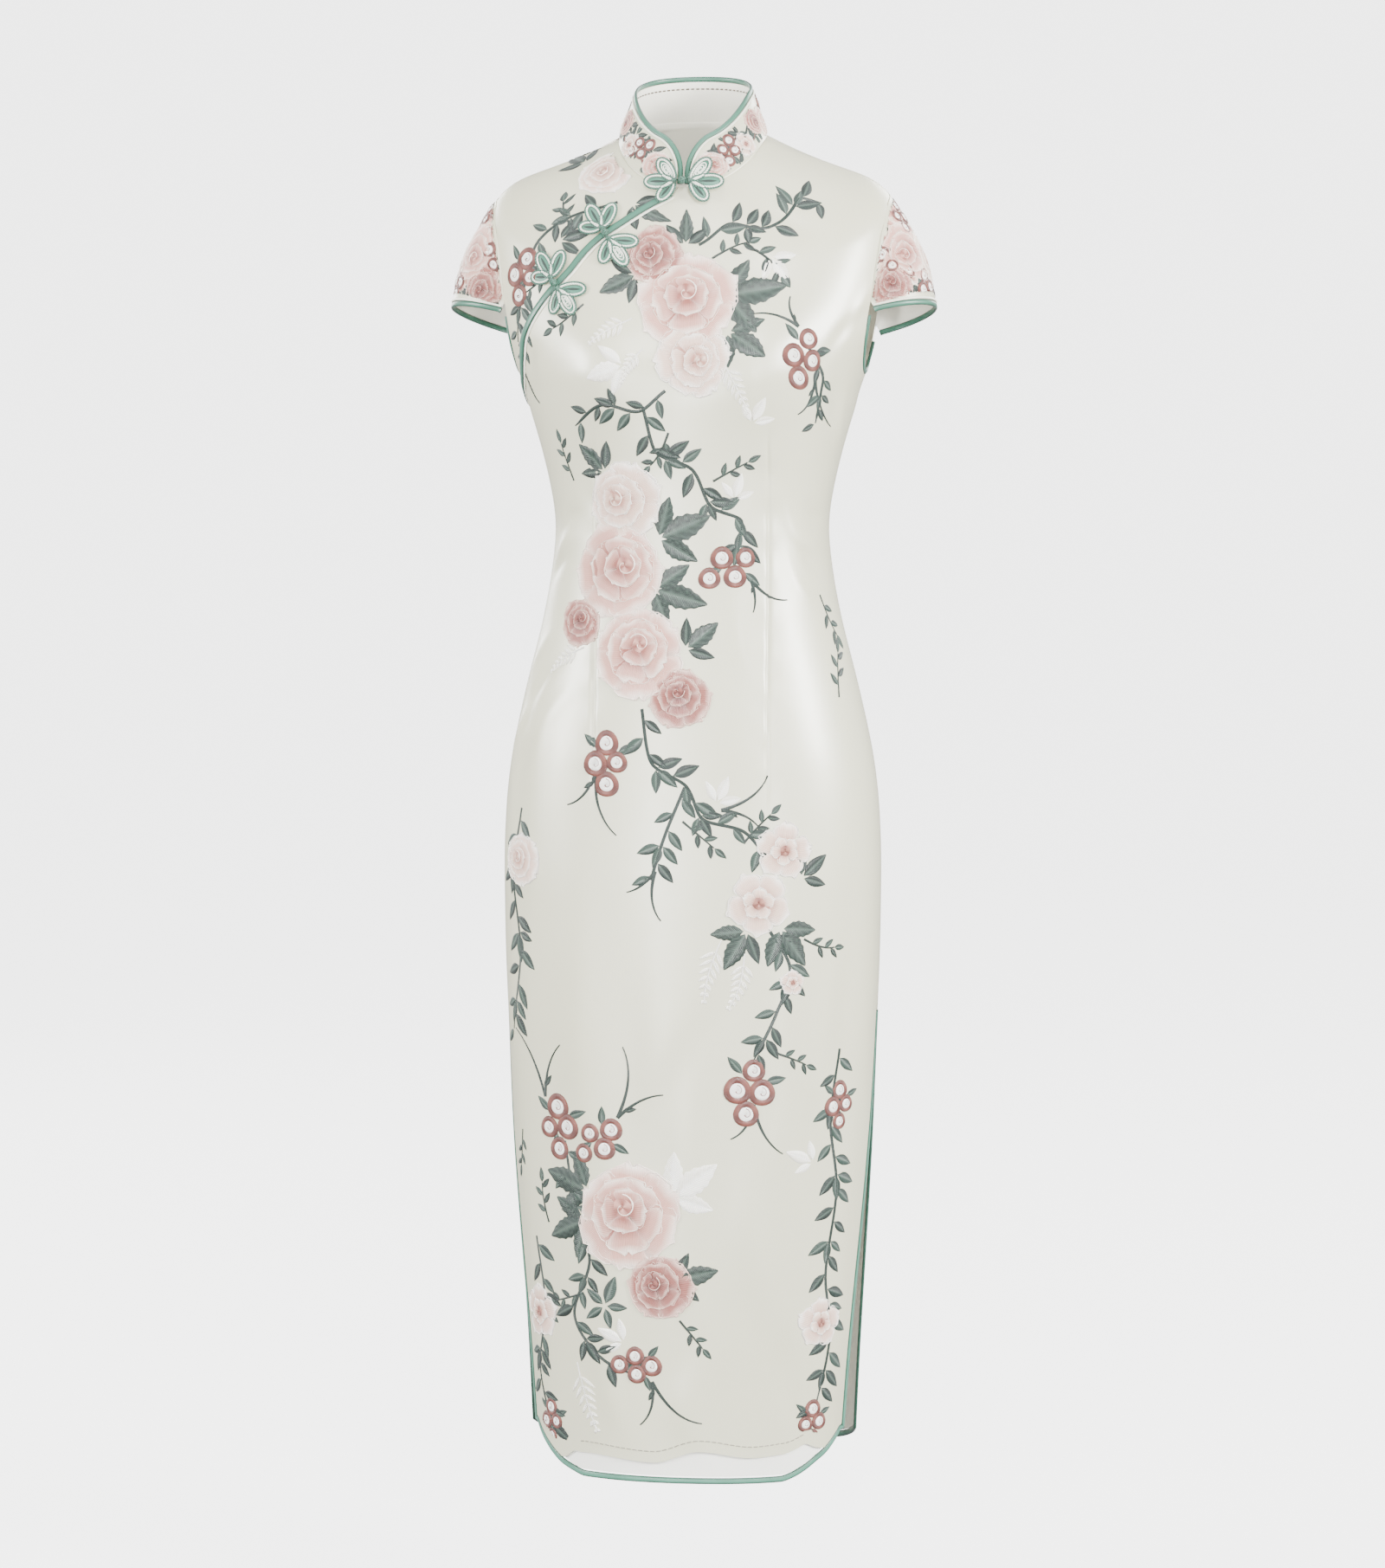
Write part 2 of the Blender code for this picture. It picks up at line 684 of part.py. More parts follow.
def sleeve_sheet():
    """The left cap sleeve: rows from its hem up to its head, columns from the back to the front."""
    columns, rows = SLEEVE_COLUMNS, SLEEVE_ROWS
    line = armhole_line(SLEEVE_FRONT_END, SLEEVE_BACK_END, SHOULDER_TIP)
    seam = resampled([body_spot(*place) for place in line], columns)
    head = [(centre, out) for centre, _, out in edge_stations(seam, SEAM_GAP, 0.0)]
    front_end = head[0][0] + SLEEVE_END_DROP
    back_end = head[-1][0] + SLEEVE_END_DROP
    middle = (front_end + back_end) / 2

    def place(column, share):
        turn = math.radians(-90 + 180 * column / columns)
        end = back_end if turn > 0 else front_end
        hem = middle + (SLEEVE_HEM_OUTER - middle) * math.cos(turn) + (end - middle) * abs(math.sin(turn))
        fullness = 4 * share * (1 - share) * math.sin(math.pi * column / columns) ** 0.5
        push = Vector((1.0, SLEEVE_FLARE * math.sin(turn), SLEEVE_PUFF_UP)) * (SLEEVE_FULLNESS * fullness)
        low = min(max(int(column), 0), columns)
        return head[low][0].lerp(hem, share) + push

    sheet = []
    for r in range(rows + 1):
        share = 1 - r / rows
        row = []
        for c in range(columns + 1):
            before, after = max(c - 1, 0), min(c + 1, columns)
            across = place(after, max(share, 0.1)) - place(before, max(share, 0.1))
            down = place(c, min(share + 0.1, 1.0)) - place(c, max(share - 0.1, 0.0))
            own = down.cross(across).normalized()
            blend = smooth_step(share / 0.35)
            out = head[c][1].lerp(own, blend).normalized()
            row.append((place(c, share), out))
        sheet.append(row)
    return sheet


def make_sleeves():
    left = sleeve_sheet()
    for name, side in SIDES.items():
        sheet = [mirrored(row, side) for row in left]
        if side < 0:
            sheet = [row[::-1] for row in sheet]
        add_wall(f"sleeve_{name}", sheet, CLOTH, "ivory_satin")
        hem = sheet[0]
        add_edge_binding(f"sleeve_binding_{name}", hem, SLEEVE_BINDING_WIDTH, CLOTH / 2)


def make_armhole_bindings():
    line = armhole_line(ARMHOLE_BINDING_FRONT, ARMHOLE_BINDING_BACK, UNDERARM)
    spots = resampled([body_spot(*place) for place in line], SLEEVE_COLUMNS)
    for name, side in SIDES.items():
        edge = mirrored(spots, side)
        if side > 0:
            edge = edge[::-1]
        add_edge_binding(
            f"armhole_binding_{name}", edge, ARMHOLE_BINDING_WIDTH, CLOTH / 2, gap=ARMHOLE_GAP
        )


# ---------------------------------------------------------------- collar
def collar_rise(angle):
    """Height of the collar's wall: its front corners are rounded."""
    away = abs(signed_angle(angle))
    share = min(max((away - COLLAR_FRONT_ANGLE) / (COLLAR_CORNER_ANGLE - COLLAR_FRONT_ANGLE), 0.0), 1.0)
    corner = math.sqrt(1 - (1 - share) ** 2)
    return COLLAR_FRONT_RISE + (COLLAR_RISE - COLLAR_FRONT_RISE) * corner


def collar_point(angle, height):
    """A point of the collar's outer face, height above its foot."""
    foot, out = body_spot(angle, NECK)
    flat_out = Vector((out.x, out.y, 0)).normalized()
    foot = foot + out * COLLAR_LIFT + flat_out * (COLLAR_CLOTH / 2) + Vector((0, 0, COLLAR_STEP_UP))
    top = Vector(
        (
            foot.x * COLLAR_TOP_SCALE,
            COLLAR_MIDDLE_Y + (foot.y - COLLAR_MIDDLE_Y) * COLLAR_TOP_SCALE + COLLAR_TOP_LEAN,
            foot.z + COLLAR_RISE,
        )
    )
    return foot.lerp(top, height / COLLAR_RISE)


def collar_spot(angle, height):
    across = collar_point(angle + 1, height) - collar_point(angle - 1, height)
    up = collar_point(angle, height + 1) - collar_point(angle, height - 1)
    return collar_point(angle, height), across.cross(up).normalized()


def collar_angles():
    """Close together round the front corners, wider apart behind."""
    width = COLLAR_CORNER_ANGLE - COLLAR_FRONT_ANGLE
    shares = spaced(0, 1, COLLAR_CORNER_COLUMNS)
    near = [COLLAR_FRONT_ANGLE + width * share**1.6 for share in shares]
    half = near + spaced(COLLAR_CORNER_ANGLE, 180, COLLAR_SIDE_COLUMNS)
    return half + [180] + [360 - angle for angle in reversed(half)]


def make_collar():
    sheet = []
    for r in range(COLLAR_ROWS + 1):
        share = r / COLLAR_ROWS
        sheet.append([collar_spot(angle, collar_rise(angle) * share) for angle in collar_angles()])
    add_wall("collar", sheet, COLLAR_CLOTH, "ivory_satin")
    upright = [collar_spot(COLLAR_FRONT_ANGLE, height) for height in COLLAR_BINDING_ENDS]
    other = [collar_spot(360 - COLLAR_FRONT_ANGLE, height) for height in reversed(COLLAR_BINDING_ENDS)]
    edge = (upright + sheet[-1] + other)[::-1]
    add_edge_binding("collar_binding", edge, COLLAR_BINDING_WIDTH, COLLAR_CLOTH / 2)


# ---------------------------------------------------------------- frog buttons
def chest_place(frog):
    """A function that puts (right, up, height) in millimetres on the chest round the frog's middle."""
    centre, out = body_spot(frog.angle, frog.level)
    sideways = out.cross(Vector((0, 0, 1))).normalized()
    sideways = sideways if sideways.x > 0 else -sideways
    upwards = out.cross(sideways).normalized()
    upwards = upwards if upwards.z > 0 else -upwards

    def place(right, up, height):
        angle, level = frog.angle, frog.level
        for _ in range(4):
            here = body_point(angle, level)
            miss_right = right - (here - centre).dot(sideways)
            miss_up = up - (here - centre).dot(upwards)
            by_angle = body_point(angle + 0.5, level) - here
            by_level = body_point(angle, level + 0.5) - here
            a, b = by_angle.dot(sideways), by_level.dot(sideways)
            c, d = by_angle.dot(upwards), by_level.dot(upwards)
            det = a * d - b * c
            angle += 0.5 * (miss_right * d - miss_up * b) / det
            level += 0.5 * (miss_up * a - miss_right * c) / det
        point, out_there = body_spot(angle, level)
        return point + out_there * height

    return place


def neck_place(right, up, height):
    """The same for the neck frog: above its knot it leans back with the collar, below with the chest."""
    lean = NECK_FROG_LEAN_ABOVE if up > 0 else NECK_FROG_LEAN_BELOW
    around = right / NECK_FROG_ROUND
    out = Vector((math.sin(around), -math.cos(around), NECK_FROG_LEAN_BELOW)).normalized()
    forward = NECK_FROG_ROUND * (math.cos(around) - 1)
    foot = Vector((NECK_FROG_ROUND * math.sin(around), lean * up - forward, up))
    return NECK_FROG_CENTRE + foot + out * height


def loop_solid(name, place, loop, side, turn):
    """One loop of cord, an egg-shaped ring that starts beside the knot."""
    stations, sides = LOOP_STATIONS, LOOP_SIDES
    heading = math.radians(loop.heading)
    turned = math.radians(turn)

    def centre(share):
        angle = math.tau * share
        along = LOOP_ROOT + loop.length * (1 - math.cos(angle)) / 2
        egg = LOOP_WIDTH_SHARE - LOOP_EGG * math.cos(angle)
        aside = loop.width / 2 * math.sin(angle) * egg
        right = side * (ROOT_DISTANCE + along * math.cos(heading) - aside * math.sin(heading))
        up = along * math.sin(heading) + aside * math.cos(heading)
        arch = (FROG_ARCH + LOOP_ARCH) * math.exp(-along / LOOP_ARCH_LENGTH)
        height = CORD_RADIUS + CORD_CLEARANCE + arch
        flat_right = right * math.cos(turned) - up * math.sin(turned)
        flat_up = right * math.sin(turned) + up * math.cos(turned)
        return place(flat_right, flat_up, height), place(flat_right, flat_up, height + 1)

    points, faces = [], []
    for s in range(stations):
        here, above = centre(s / stations)
        walk = centre((s + 0.5) / stations)[0] - centre((s - 0.5) / stations)[0]
        out = (above - here).normalized()
        beside = walk.cross(out).normalized()
        for i in range(sides):
            angle = math.tau * (i + 0.5) / sides
            points.append(here + (beside * math.cos(angle) + out * math.sin(angle)) * CORD_RADIUS)
    for s in range(stations):
        t = (s + 1) % stations
        for i in range(sides):
            j = (i + 1) % sides
            faces.append([s * sides + i, t * sides + i, t * sides + j, s * sides + j])
    return add_solid(name, points, outward(points, faces), "mint_cord")


def ball_solid(name, place, right, up, height, radius):
    """A small knot of eight by five facets."""
    rings, sides = 5, 8
    low = place(right, up, height)
    out = (place(right, up, height + 1) - low).normalized()
    beside = out.orthogonal().normalized()
    across = out.cross(beside)
    points = [low - out * radius]
    for r in range(1, rings):
        polar = math.pi * r / rings
        for i in range(sides):
            turn = math.tau * i / sides
            flat = beside * math.cos(turn) + across * math.sin(turn)
            points.append(low + flat * (radius * math.sin(polar)) - out * (radius * math.cos(polar)))
    points.append(low + out * radius)
    last = len(points) - 1
    faces = [[0, 1 + i, 1 + (i + 1) % sides] for i in range(sides)]
    for r in range(rings - 2):
        below, above = 1 + r * sides, 1 + (r + 1) * sides
        for i in range(sides):
            j = (i + 1) % sides
            faces.append([below + i, above + i, above + j, below + j])
    faces += [[last, last - sides + (i + 1) % sides, last - sides + i] for i in range(sides)]
    return add_solid(name, points, outward(points, faces), "mint_cord")


def make_scroll(name, place, side, turn):
    """Half of a frog: three loops of cord joined where they leave the knot."""
    turned = math.radians(turn)
    right = side * ROOT_DISTANCE * math.cos(turned)
    up = side * ROOT_DISTANCE * math.sin(turned)
    scroll = ball_solid(name, place, right, up, ROOT_RADIUS + CORD_CLEARANCE + FROG_ARCH, ROOT_RADIUS)
    for number, loop in enumerate(SCROLL_LOOPS):
        cutter = loop_solid(f"{name}_loop_{number}", place, loop, side, turn)
        cutter.hide_render = True
        cutter.display_type = "WIRE"
        union = scroll.modifiers.new(f"loop_{number}", "BOOLEAN")
        union.operation = "UNION"
        union.solver = "EXACT"
        union.use_self = True
        union.object = cutter


def make_frog(name, place, turn, halves):
    for half, side in halves.items():
        make_scroll(f"{name}_{half}", place, side, turn)
    ball_solid(f"{name}_knot", place, 0, 0, KNOT_RADIUS + CORD_CLEARANCE + FROG_ARCH, KNOT_RADIUS)


def make_frogs():
    make_frog("neck_frog", neck_place, 0.0, {"left_scroll": 1, "right_scroll": -1})
    for frog in CHEST_FROGS:
        make_frog(frog.name, chest_place(frog), frog.turn, {"lower_scroll": 1, "upper_scroll": -1})


# ---------------------------------------------------------------- the dress
def main():
    for old in list(bpy.data.objects):
        bpy.data.objects.remove(old, do_unlink=True)
    make_panels()
    make_hem_band()
    make_slit_bindings()
    make_opening_binding()
    make_sleeves()
    make_armhole_bindings()
    make_collar()
    make_frogs()


main()
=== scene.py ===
"""Looks of the cheongsam dress: satin shells, bound edges, corded frog buttons and hand embroidery.

Everything follows one surface, cloth_place(angle, level), in millimetres. The angle runs round the
wearer: 0 is the middle of the front, 90 the wearer's left side, 180 the middle of the back. The
level names a ring round the body by the ring's height at the middle of the front.
"""

import math
from collections import namedtuple

import bpy
import numpy as np
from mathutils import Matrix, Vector


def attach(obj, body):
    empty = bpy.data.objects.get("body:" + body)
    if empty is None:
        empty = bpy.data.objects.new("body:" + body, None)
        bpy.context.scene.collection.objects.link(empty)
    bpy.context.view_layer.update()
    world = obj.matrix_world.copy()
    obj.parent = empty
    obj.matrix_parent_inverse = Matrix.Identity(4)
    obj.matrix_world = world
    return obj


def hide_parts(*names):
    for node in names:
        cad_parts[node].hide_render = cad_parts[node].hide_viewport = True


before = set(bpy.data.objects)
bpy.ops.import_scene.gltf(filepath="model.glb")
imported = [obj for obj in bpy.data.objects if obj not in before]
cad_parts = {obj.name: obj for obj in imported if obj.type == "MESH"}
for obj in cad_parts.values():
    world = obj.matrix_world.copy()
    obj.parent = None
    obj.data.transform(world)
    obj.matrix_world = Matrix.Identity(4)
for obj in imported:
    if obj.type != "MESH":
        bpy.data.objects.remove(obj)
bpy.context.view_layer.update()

MM = 0.001
BODY = "root"

# ---------------------------------------------------------------- sizes, in mm and degrees
CLOTH = 1.5
COLLAR_CLOTH = 2.0
BAND_CLOTH = 1.2
SEAM_GAP = 0.3
ARMHOLE_GAP = 0.7
LAYER_GAP = 0.8
HEM_BINDING_WIDTH = 5.6
SLEEVE_BINDING_WIDTH = 5.0
COLLAR_BINDING_WIDTH = 4.6
ARMHOLE_BINDING_WIDTH = 4.0
OPENING_BINDING_WIDTH = 6.0
BINDING_THICKNESS = 2.8
OPENING_BINDING_THICKNESS = 1.8
OPENING_BINDING_LIFT = 0.6

NECK = -45
SHOULDER_TIP = -102
UNDERARM = -209
OPENING_END = -232
SLIT_TOP = -760
SLIT_BINDING_TOP = -774
FRONT_HEM = -1188
FRONT_CORNER_RISE = 38
FRONT_CORNER_START = 40
FRONT_CORNER_POWER = 1.4
BACK_HEM = -1186
BACK_CORNER_RISE = 27
BACK_CORNER_POWER = 3
HEM_ROWS_START = -1110

RING_POWER = 2.2
FRONT_CLIMB = 1.45
BACK_CLIMB = 1.6
NECK_CLIMB = 0.9
SLIT_DRAW_IN = 0.3
SIDE_SOFTENING = 15
OPENING_HALF_GAP = 0.6


def rows_of(kind, *rows):
    """A table whose rows all have the kind's named columns."""
    return [kind(*row) for row in rows]


Skirt = namedtuple("Skirt", "level half_width front back")
SKIRT = rows_of(
    Skirt,
    (-1230, 146.0, 91.0, 98.0), (-1190, 147.0, 91.5, 98.5), (-1100, 150.5, 93.0, 100.0),
    (-1000, 156.0, 96.0, 103.0), (-900, 161.5, 99.0, 107.0), (-800, 165.5, 102.0, 112.0),
    (-700, 169.0, 104.0, 117.0), (-640, 169.5, 105.0, 119.5), (-590, 167.5, 105.0, 121.0),
    (-550, 163.0, 105.0, 120.0), (-510, 155.0, 104.0, 116.0), (-470, 145.5, 101.5, 107.0),
    (-423, 133.5, 98.0, 95.0), (-377, 125.0, 96.5, 85.0), (-340, 121.5, 97.0, 82.0),
    (-307, 126.0, 99.0, 84.0), (-260, 137.5, 106.0, 91.0), (-225, 148.0, 111.0, 97.0),
)

Section = namedtuple("Section", "level side_x side_y side_z front_y back_y back_z")
YOKE = rows_of(
    Section,
    (-209, 151, 0, -209, -112, 99, -209), (-197, 160, 1, -193, -111, 100, -190),
    (-181, 168, 2, -172, -108, 101, -166), (-163, 175, 3, -145, -103, 101, -139),
    (-142, 180, 5, -112, -96, 99, -108), (-121, 183, 6, -78, -89, 95, -78),
    (-102, 181, 8, -45, -83, 90, -49), (-88, 157, 8, -33, -78, 85, -32),
    (-73, 125, 7, -22, -74, 79, -16), (-59, 93, 6, -11, -70, 72, 0), (-45, 64, 5, 0, -66, 65, 16),
    (-38, 50, 4, 6, -64, 61, 24),
)
SECTIONS = [Section(r.level, r.half_width, 0, r.level, -r.front, r.back, r.level) for r in SKIRT]
SECTIONS += YOKE

Dart = namedtuple("Dart", "x level across down lift")
CHEST_SHAPE = Dart(x=74, level=-200, across=42, down=52, lift=12)

Fold = namedtuple("Fold", "angle top bottom width height")
FOLDS = rows_of(
    Fold,
    (-34, -520, -1040, 8.0, 3.0), (33, -500, -1080, 8.5, 2.6), (-15, -640, -1160, 7.0, -2.2),
    (13, -600, -1100, 7.5, -2.0), (-62, -480, -760, 7.0, -2.2), (60, -560, -940, 7.5, -2.4),
    (146, -560, -1120, 8.5, 2.8), (-148, -540, -1060, 8.0, 3.0), (168, -640, -1160, 7.0, -2.0),
    (-167, -600, -1120, 7.5, -2.2), (118, -520, -900, 7.0, -2.2), (-120, -560, -980, 7.0, -2.4),
)

Armhole = namedtuple("Armhole", "level front_angle back_angle")
ARMHOLE = rows_of(
    Armhole,
    (-209, 90.0, 90.0), (-206, 83.0, 83.5), (-203, 80.0, 81.0), (-197, 76.0, 77.5),
    (-181, 69.5, 71.5), (-163, 67.0, 69.0), (-142, 66.0, 68.0), (-121, 68.0, 69.5),
    (-111, 73.0, 74.0), (-105, 80.0, 80.0), (-102, 90.0, 90.0),
)

Opening = namedtuple("Opening", "level angle")
OPENING = rows_of(
    Opening,
    (OPENING_END, -90.0), (-221, -82.0), (-208, -71.0), (-178, -56.0), (-149, -42.5),
    (-121, -31.5), (-87, -24.0), (-66, -18.0), (NECK, -3.0),
)

Slit = namedtuple("Slit", "level front_angle back_angle narrowing")
SLIT = rows_of(
    Slit,
    (-1200, 16.0, 6.5, 0.045), (-1050, 12.5, 5.6, 0.034), (-900, 7.5, 4.2, 0.016),
    (-800, 3.6, 3.3, 0.002), (SLIT_BINDING_TOP, 3.1, 3.1, 0.0), (SLIT_TOP, 0.0, 0.0, 0.0),
)

SatinHem = namedtuple("SatinHem", "angle rise")
SATIN_HEM = rows_of(
    SatinHem,
    (-51.5, 0.0), (-48.0, 7.0), (-44.0, 15.0), (-37.0, 17.0), (-10.0, 13.0), (7.0, 24.0),
    (27.0, 18.0), (42.0, 20.0), (50.0, 20.0), (56.0, 10.0), (62.0, 0.0),
)
BAND_TOP = -1120
BAND_RIGHT = -52
BAND_LEFT = 63
BAND_FADE = 8

SLEEVE_FRONT_END = -158
SLEEVE_BACK_END = -176
SLEEVE_HEM_OUTER = np.array([216.0, 3.0, -144.0])
SLEEVE_END_DROP = np.array([2.6, 0.0, -4.2])
SLEEVE_FULLNESS = 6.0
SLEEVE_FLARE = 0.5
SLEEVE_PUFF_UP = 0.25
HEAD_PUCKER = 0.45
HEAD_PUCKERS = 34
HEAD_PUCKER_DEPTH = 0.22
ARMHOLE_BINDING_FRONT = -167
ARMHOLE_BINDING_BACK = -187

COLLAR_RISE = 38.0
COLLAR_LIFT = 0.5
COLLAR_STEP_UP = 1.0
COLLAR_TOP_SCALE = 0.81
COLLAR_TOP_LEAN = 2.5
COLLAR_MIDDLE_Y = 2.0
COLLAR_FRONT_ANGLE = 5.2
COLLAR_FRONT_RISE = 10.0
COLLAR_CORNER_ANGLE = 26.0
COLLAR_BINDING_FEET = (2.0, 6.0)
TAPE_DEPTH = 2.2
TAPE_WIDTH = 7.0
TAPE_THICKNESS = 0.6

# Small creases: soft troughs (-) and ridges (+), most where the cloth pulls at waist, hip and arm
Crease = namedtuple("Crease", "angle level length width lean height")
CREASES = rows_of(
    Crease,
    (-70, -455, 62, 7, 38, 2.1), (-62, -482, 74, 8, 34, -2.5), (-74, -520, 58, 7, 30, 1.7),
    (-52, -512, 66, 9, 26, 1.7), (-66, -556, 52, 8, 22, -1.5), (57, -352, 46, 6, -62, 2.1),
    (63, -372, 52, 6, -55, -1.9), (55, -398, 44, 7, -48, 1.5), (67, -330, 40, 6, -70, -1.7),
    (-60, -352, 40, 6, 66, 1.7), (-66, -376, 46, 6, 58, -1.7), (-55, -330, 36, 6, 74, -1.3),
    (66, -236, 44, 7, -40, -1.9), (74, -254, 50, 8, -34, 1.7), (-58, -196, 38, 7, 44, -1.7),
    (56, -176, 40, 8, 48, -1.7), (62, -158, 34, 7, 40, 1.3), (26, -108, 50, 11, -52, 1.5),
    (38, -92, 44, 10, -44, -1.5), (-20, -420, 70, 12, 6, -1.1), (22, -436, 80, 12, -8, 1.3),
    (-6, -880, 190, 16, 3, -2.1), (24, -960, 160, 15, -4, 1.9), (-44, -900, 170, 14, 4, -1.9),
    (47, -820, 150, 14, -6, 1.7), (-28, -1080, 100, 13, 3, 1.7), (40, -1090, 90, 12, -3, -1.7),
    (2, -1120, 70, 14, 0, 2.1), (125, -372, 52, 7, 62, 2.1), (118, -350, 46, 6, 68, -1.9),
    (132, -398, 48, 7, 54, -1.7), (-124, -364, 50, 7, -60, 2.1), (-117, -342, 44, 6, -70, -1.7),
    (-133, -392, 50, 8, -52, -1.5), (160, -330, 60, 9, 84, -1.5), (-162, -346, 58, 9, -82, -1.5),
    (128, -190, 50, 8, -38, -1.9), (-130, -184, 52, 8, 36, -1.9), (140, -130, 56, 11, -30, 1.5),
    (-142, -126, 54, 11, 28, 1.5), (172, -900, 190, 16, 2, -2.1), (-152, -960, 150, 14, -4, 1.7),
    (134, -880, 160, 14, 5, -1.9), (-112, -700, 120, 10, 8, -1.7), (110, -560, 70, 8, -30, 1.7),
)

# Darts taken in at the waist: where the line lies beside the middle, and its two ends
DartLine = namedtuple("DartLine", "across top bottom front")
DART_LINES = rows_of(
    DartLine,
    (-76, -250, -585, True), (77, -244, -585, True), (-70, -228, -520, False),
    (70, -228, -520, False),
)
DART_DEPTH = 1.5
DART_WIDTH = 1.5
DART_PUCKER = 0.9
DART_PUCKER_WIDTH = 7.0
DART_PUCKER_SPACING = 5.5
DART_PUCKER_SHARE = 0.45
DART_TAPER = 0.08
CREASE_BEND = 0.12

SHELL = 1.0
BAND_SHELL = 0.7
STITCH_WIDTH = 1.3
MM_PER_DEGREE = 2.4

Loop = namedtuple("Loop", "heading length width")
SCROLL_LOOPS = [Loop(52, 24, 13), Loop(2, 27, 13), Loop(-46, 20, 12)]
CORD_RADIUS = 1.6
CORD_CLEARANCE = 0.6
FROG_ARCH = 2.3
LOOP_ROOT = 1.2
LOOP_WIDTH_SHARE = 0.88
LOOP_EGG = 0.12
LOOP_ARCH = 0.6
LOOP_ARCH_LENGTH = 6
KNOT_RADIUS = 3.4
ROOT_RADIUS = 2.4
ROOT_DISTANCE = KNOT_RADIUS + ROOT_RADIUS + 2 * SEAM_GAP
Frog = namedtuple("Frog", "name angle level turn")
CHEST_FROGS = [
    Frog("chest_frog", -24.3, -92, -55.0),
    Frog("side_frog", -37.5, -137, -52.0),
]
NECK_FROG_CENTRE = np.array([0.0, -69.2, -41.0])
NECK_FROG_LEAN_ABOVE = 0.40
NECK_FROG_LEAN_BELOW = 0.27
NECK_FROG_ROUND = 80.0
SIDES = {"left": 1, "right": -1}


# ---------------------------------------------------------------- reading the tables
def smooth_step(value):
    value = np.clip(value, 0.0, 1.0)
    return value * value * (3 - 2 * value)


CURVES = {}


def curve(table, column, key_column):
    """A column's keys, values and slopes. The table is kept too, so that its id stays its own."""
    name = (id(table), column, key_column)
    if name not in CURVES:
        keys = np.array([getattr(row, key_column) for row in table], float)
        values = np.array([getattr(row, column) for row in table], float)
        steps = np.diff(values) / np.diff(keys)
        before, after = steps[:-1], steps[1:]
        together = np.where(before * after > 0, before + after, 1.0)
        middle = np.where(before * after > 0, 2 * before * after / together, 0.0)
        CURVES[name] = (table, keys, values, np.concatenate([steps[:1], middle, steps[-1:]]))
    return CURVES[name][1:]


def read(table, column, key, key_column="level"):
    """The column's values at the keys, on a smooth curve that never swings past the rows."""
    keys, values, tangents = curve(table, column, key_column)
    key = np.asarray(key, float)
    i = np.clip(np.searchsorted(keys, key, side="right") - 1, 0, len(keys) - 2)
    width = keys[i + 1] - keys[i]
    t = np.clip((key - keys[i]) / width, 0.0, 1.0)
    ahead = t * t * (3 - 2 * t)
    inside = values[i] * (1 - ahead) + values[i + 1] * ahead
    inside = inside + width * t * (1 - t) * (tangents[i] * (1 - t) - tangents[i + 1] * t)
    below = np.minimum(key - keys[0], 0.0) * tangents[0]
    above = np.maximum(key - keys[-1], 0.0) * tangents[-1]
    return inside + below + above


def unit(vectors):
    return vectors / np.maximum(np.linalg.norm(vectors, axis=-1, keepdims=True), 1e-9)


def signed_angle(angle):
    return (angle + 180) % 360 - 180


def alike(first, second):
    """Both as arrays of one shape."""
    return np.broadcast_arrays(np.asarray(first, float), np.asarray(second, float))


def stacked(*values):
    """The values as the parts of vectors."""
    return np.stack(np.broadcast_arrays(*values), axis=-1)


def distances_along(points):
    """How far along a line each of its points lies."""
    lengths = np.linalg.norm(np.diff(points, axis=0), axis=1)
    return np.concatenate([[0.0], np.cumsum(lengths)])


def between(wanted, marks, vectors):
    """The vectors at the wanted marks, on straight lines between those that are given."""
    return np.stack([np.interp(wanted, marks, vectors[:, i]) for i in range(3)], axis=-1)


# ---------------------------------------------------------------- the surface of the cloth
def fold_height(angle, level):
    total = np.zeros_like(angle)
    for fold in FOLDS:
        along = np.clip((fold.top - level) / (fold.top - fold.bottom), 0.0, 1.0)
        across = signed_angle(angle - fold.angle) / fold.width
        total += fold.height * np.sin(math.pi * along) ** 2 * np.exp(-across * across)
    return total


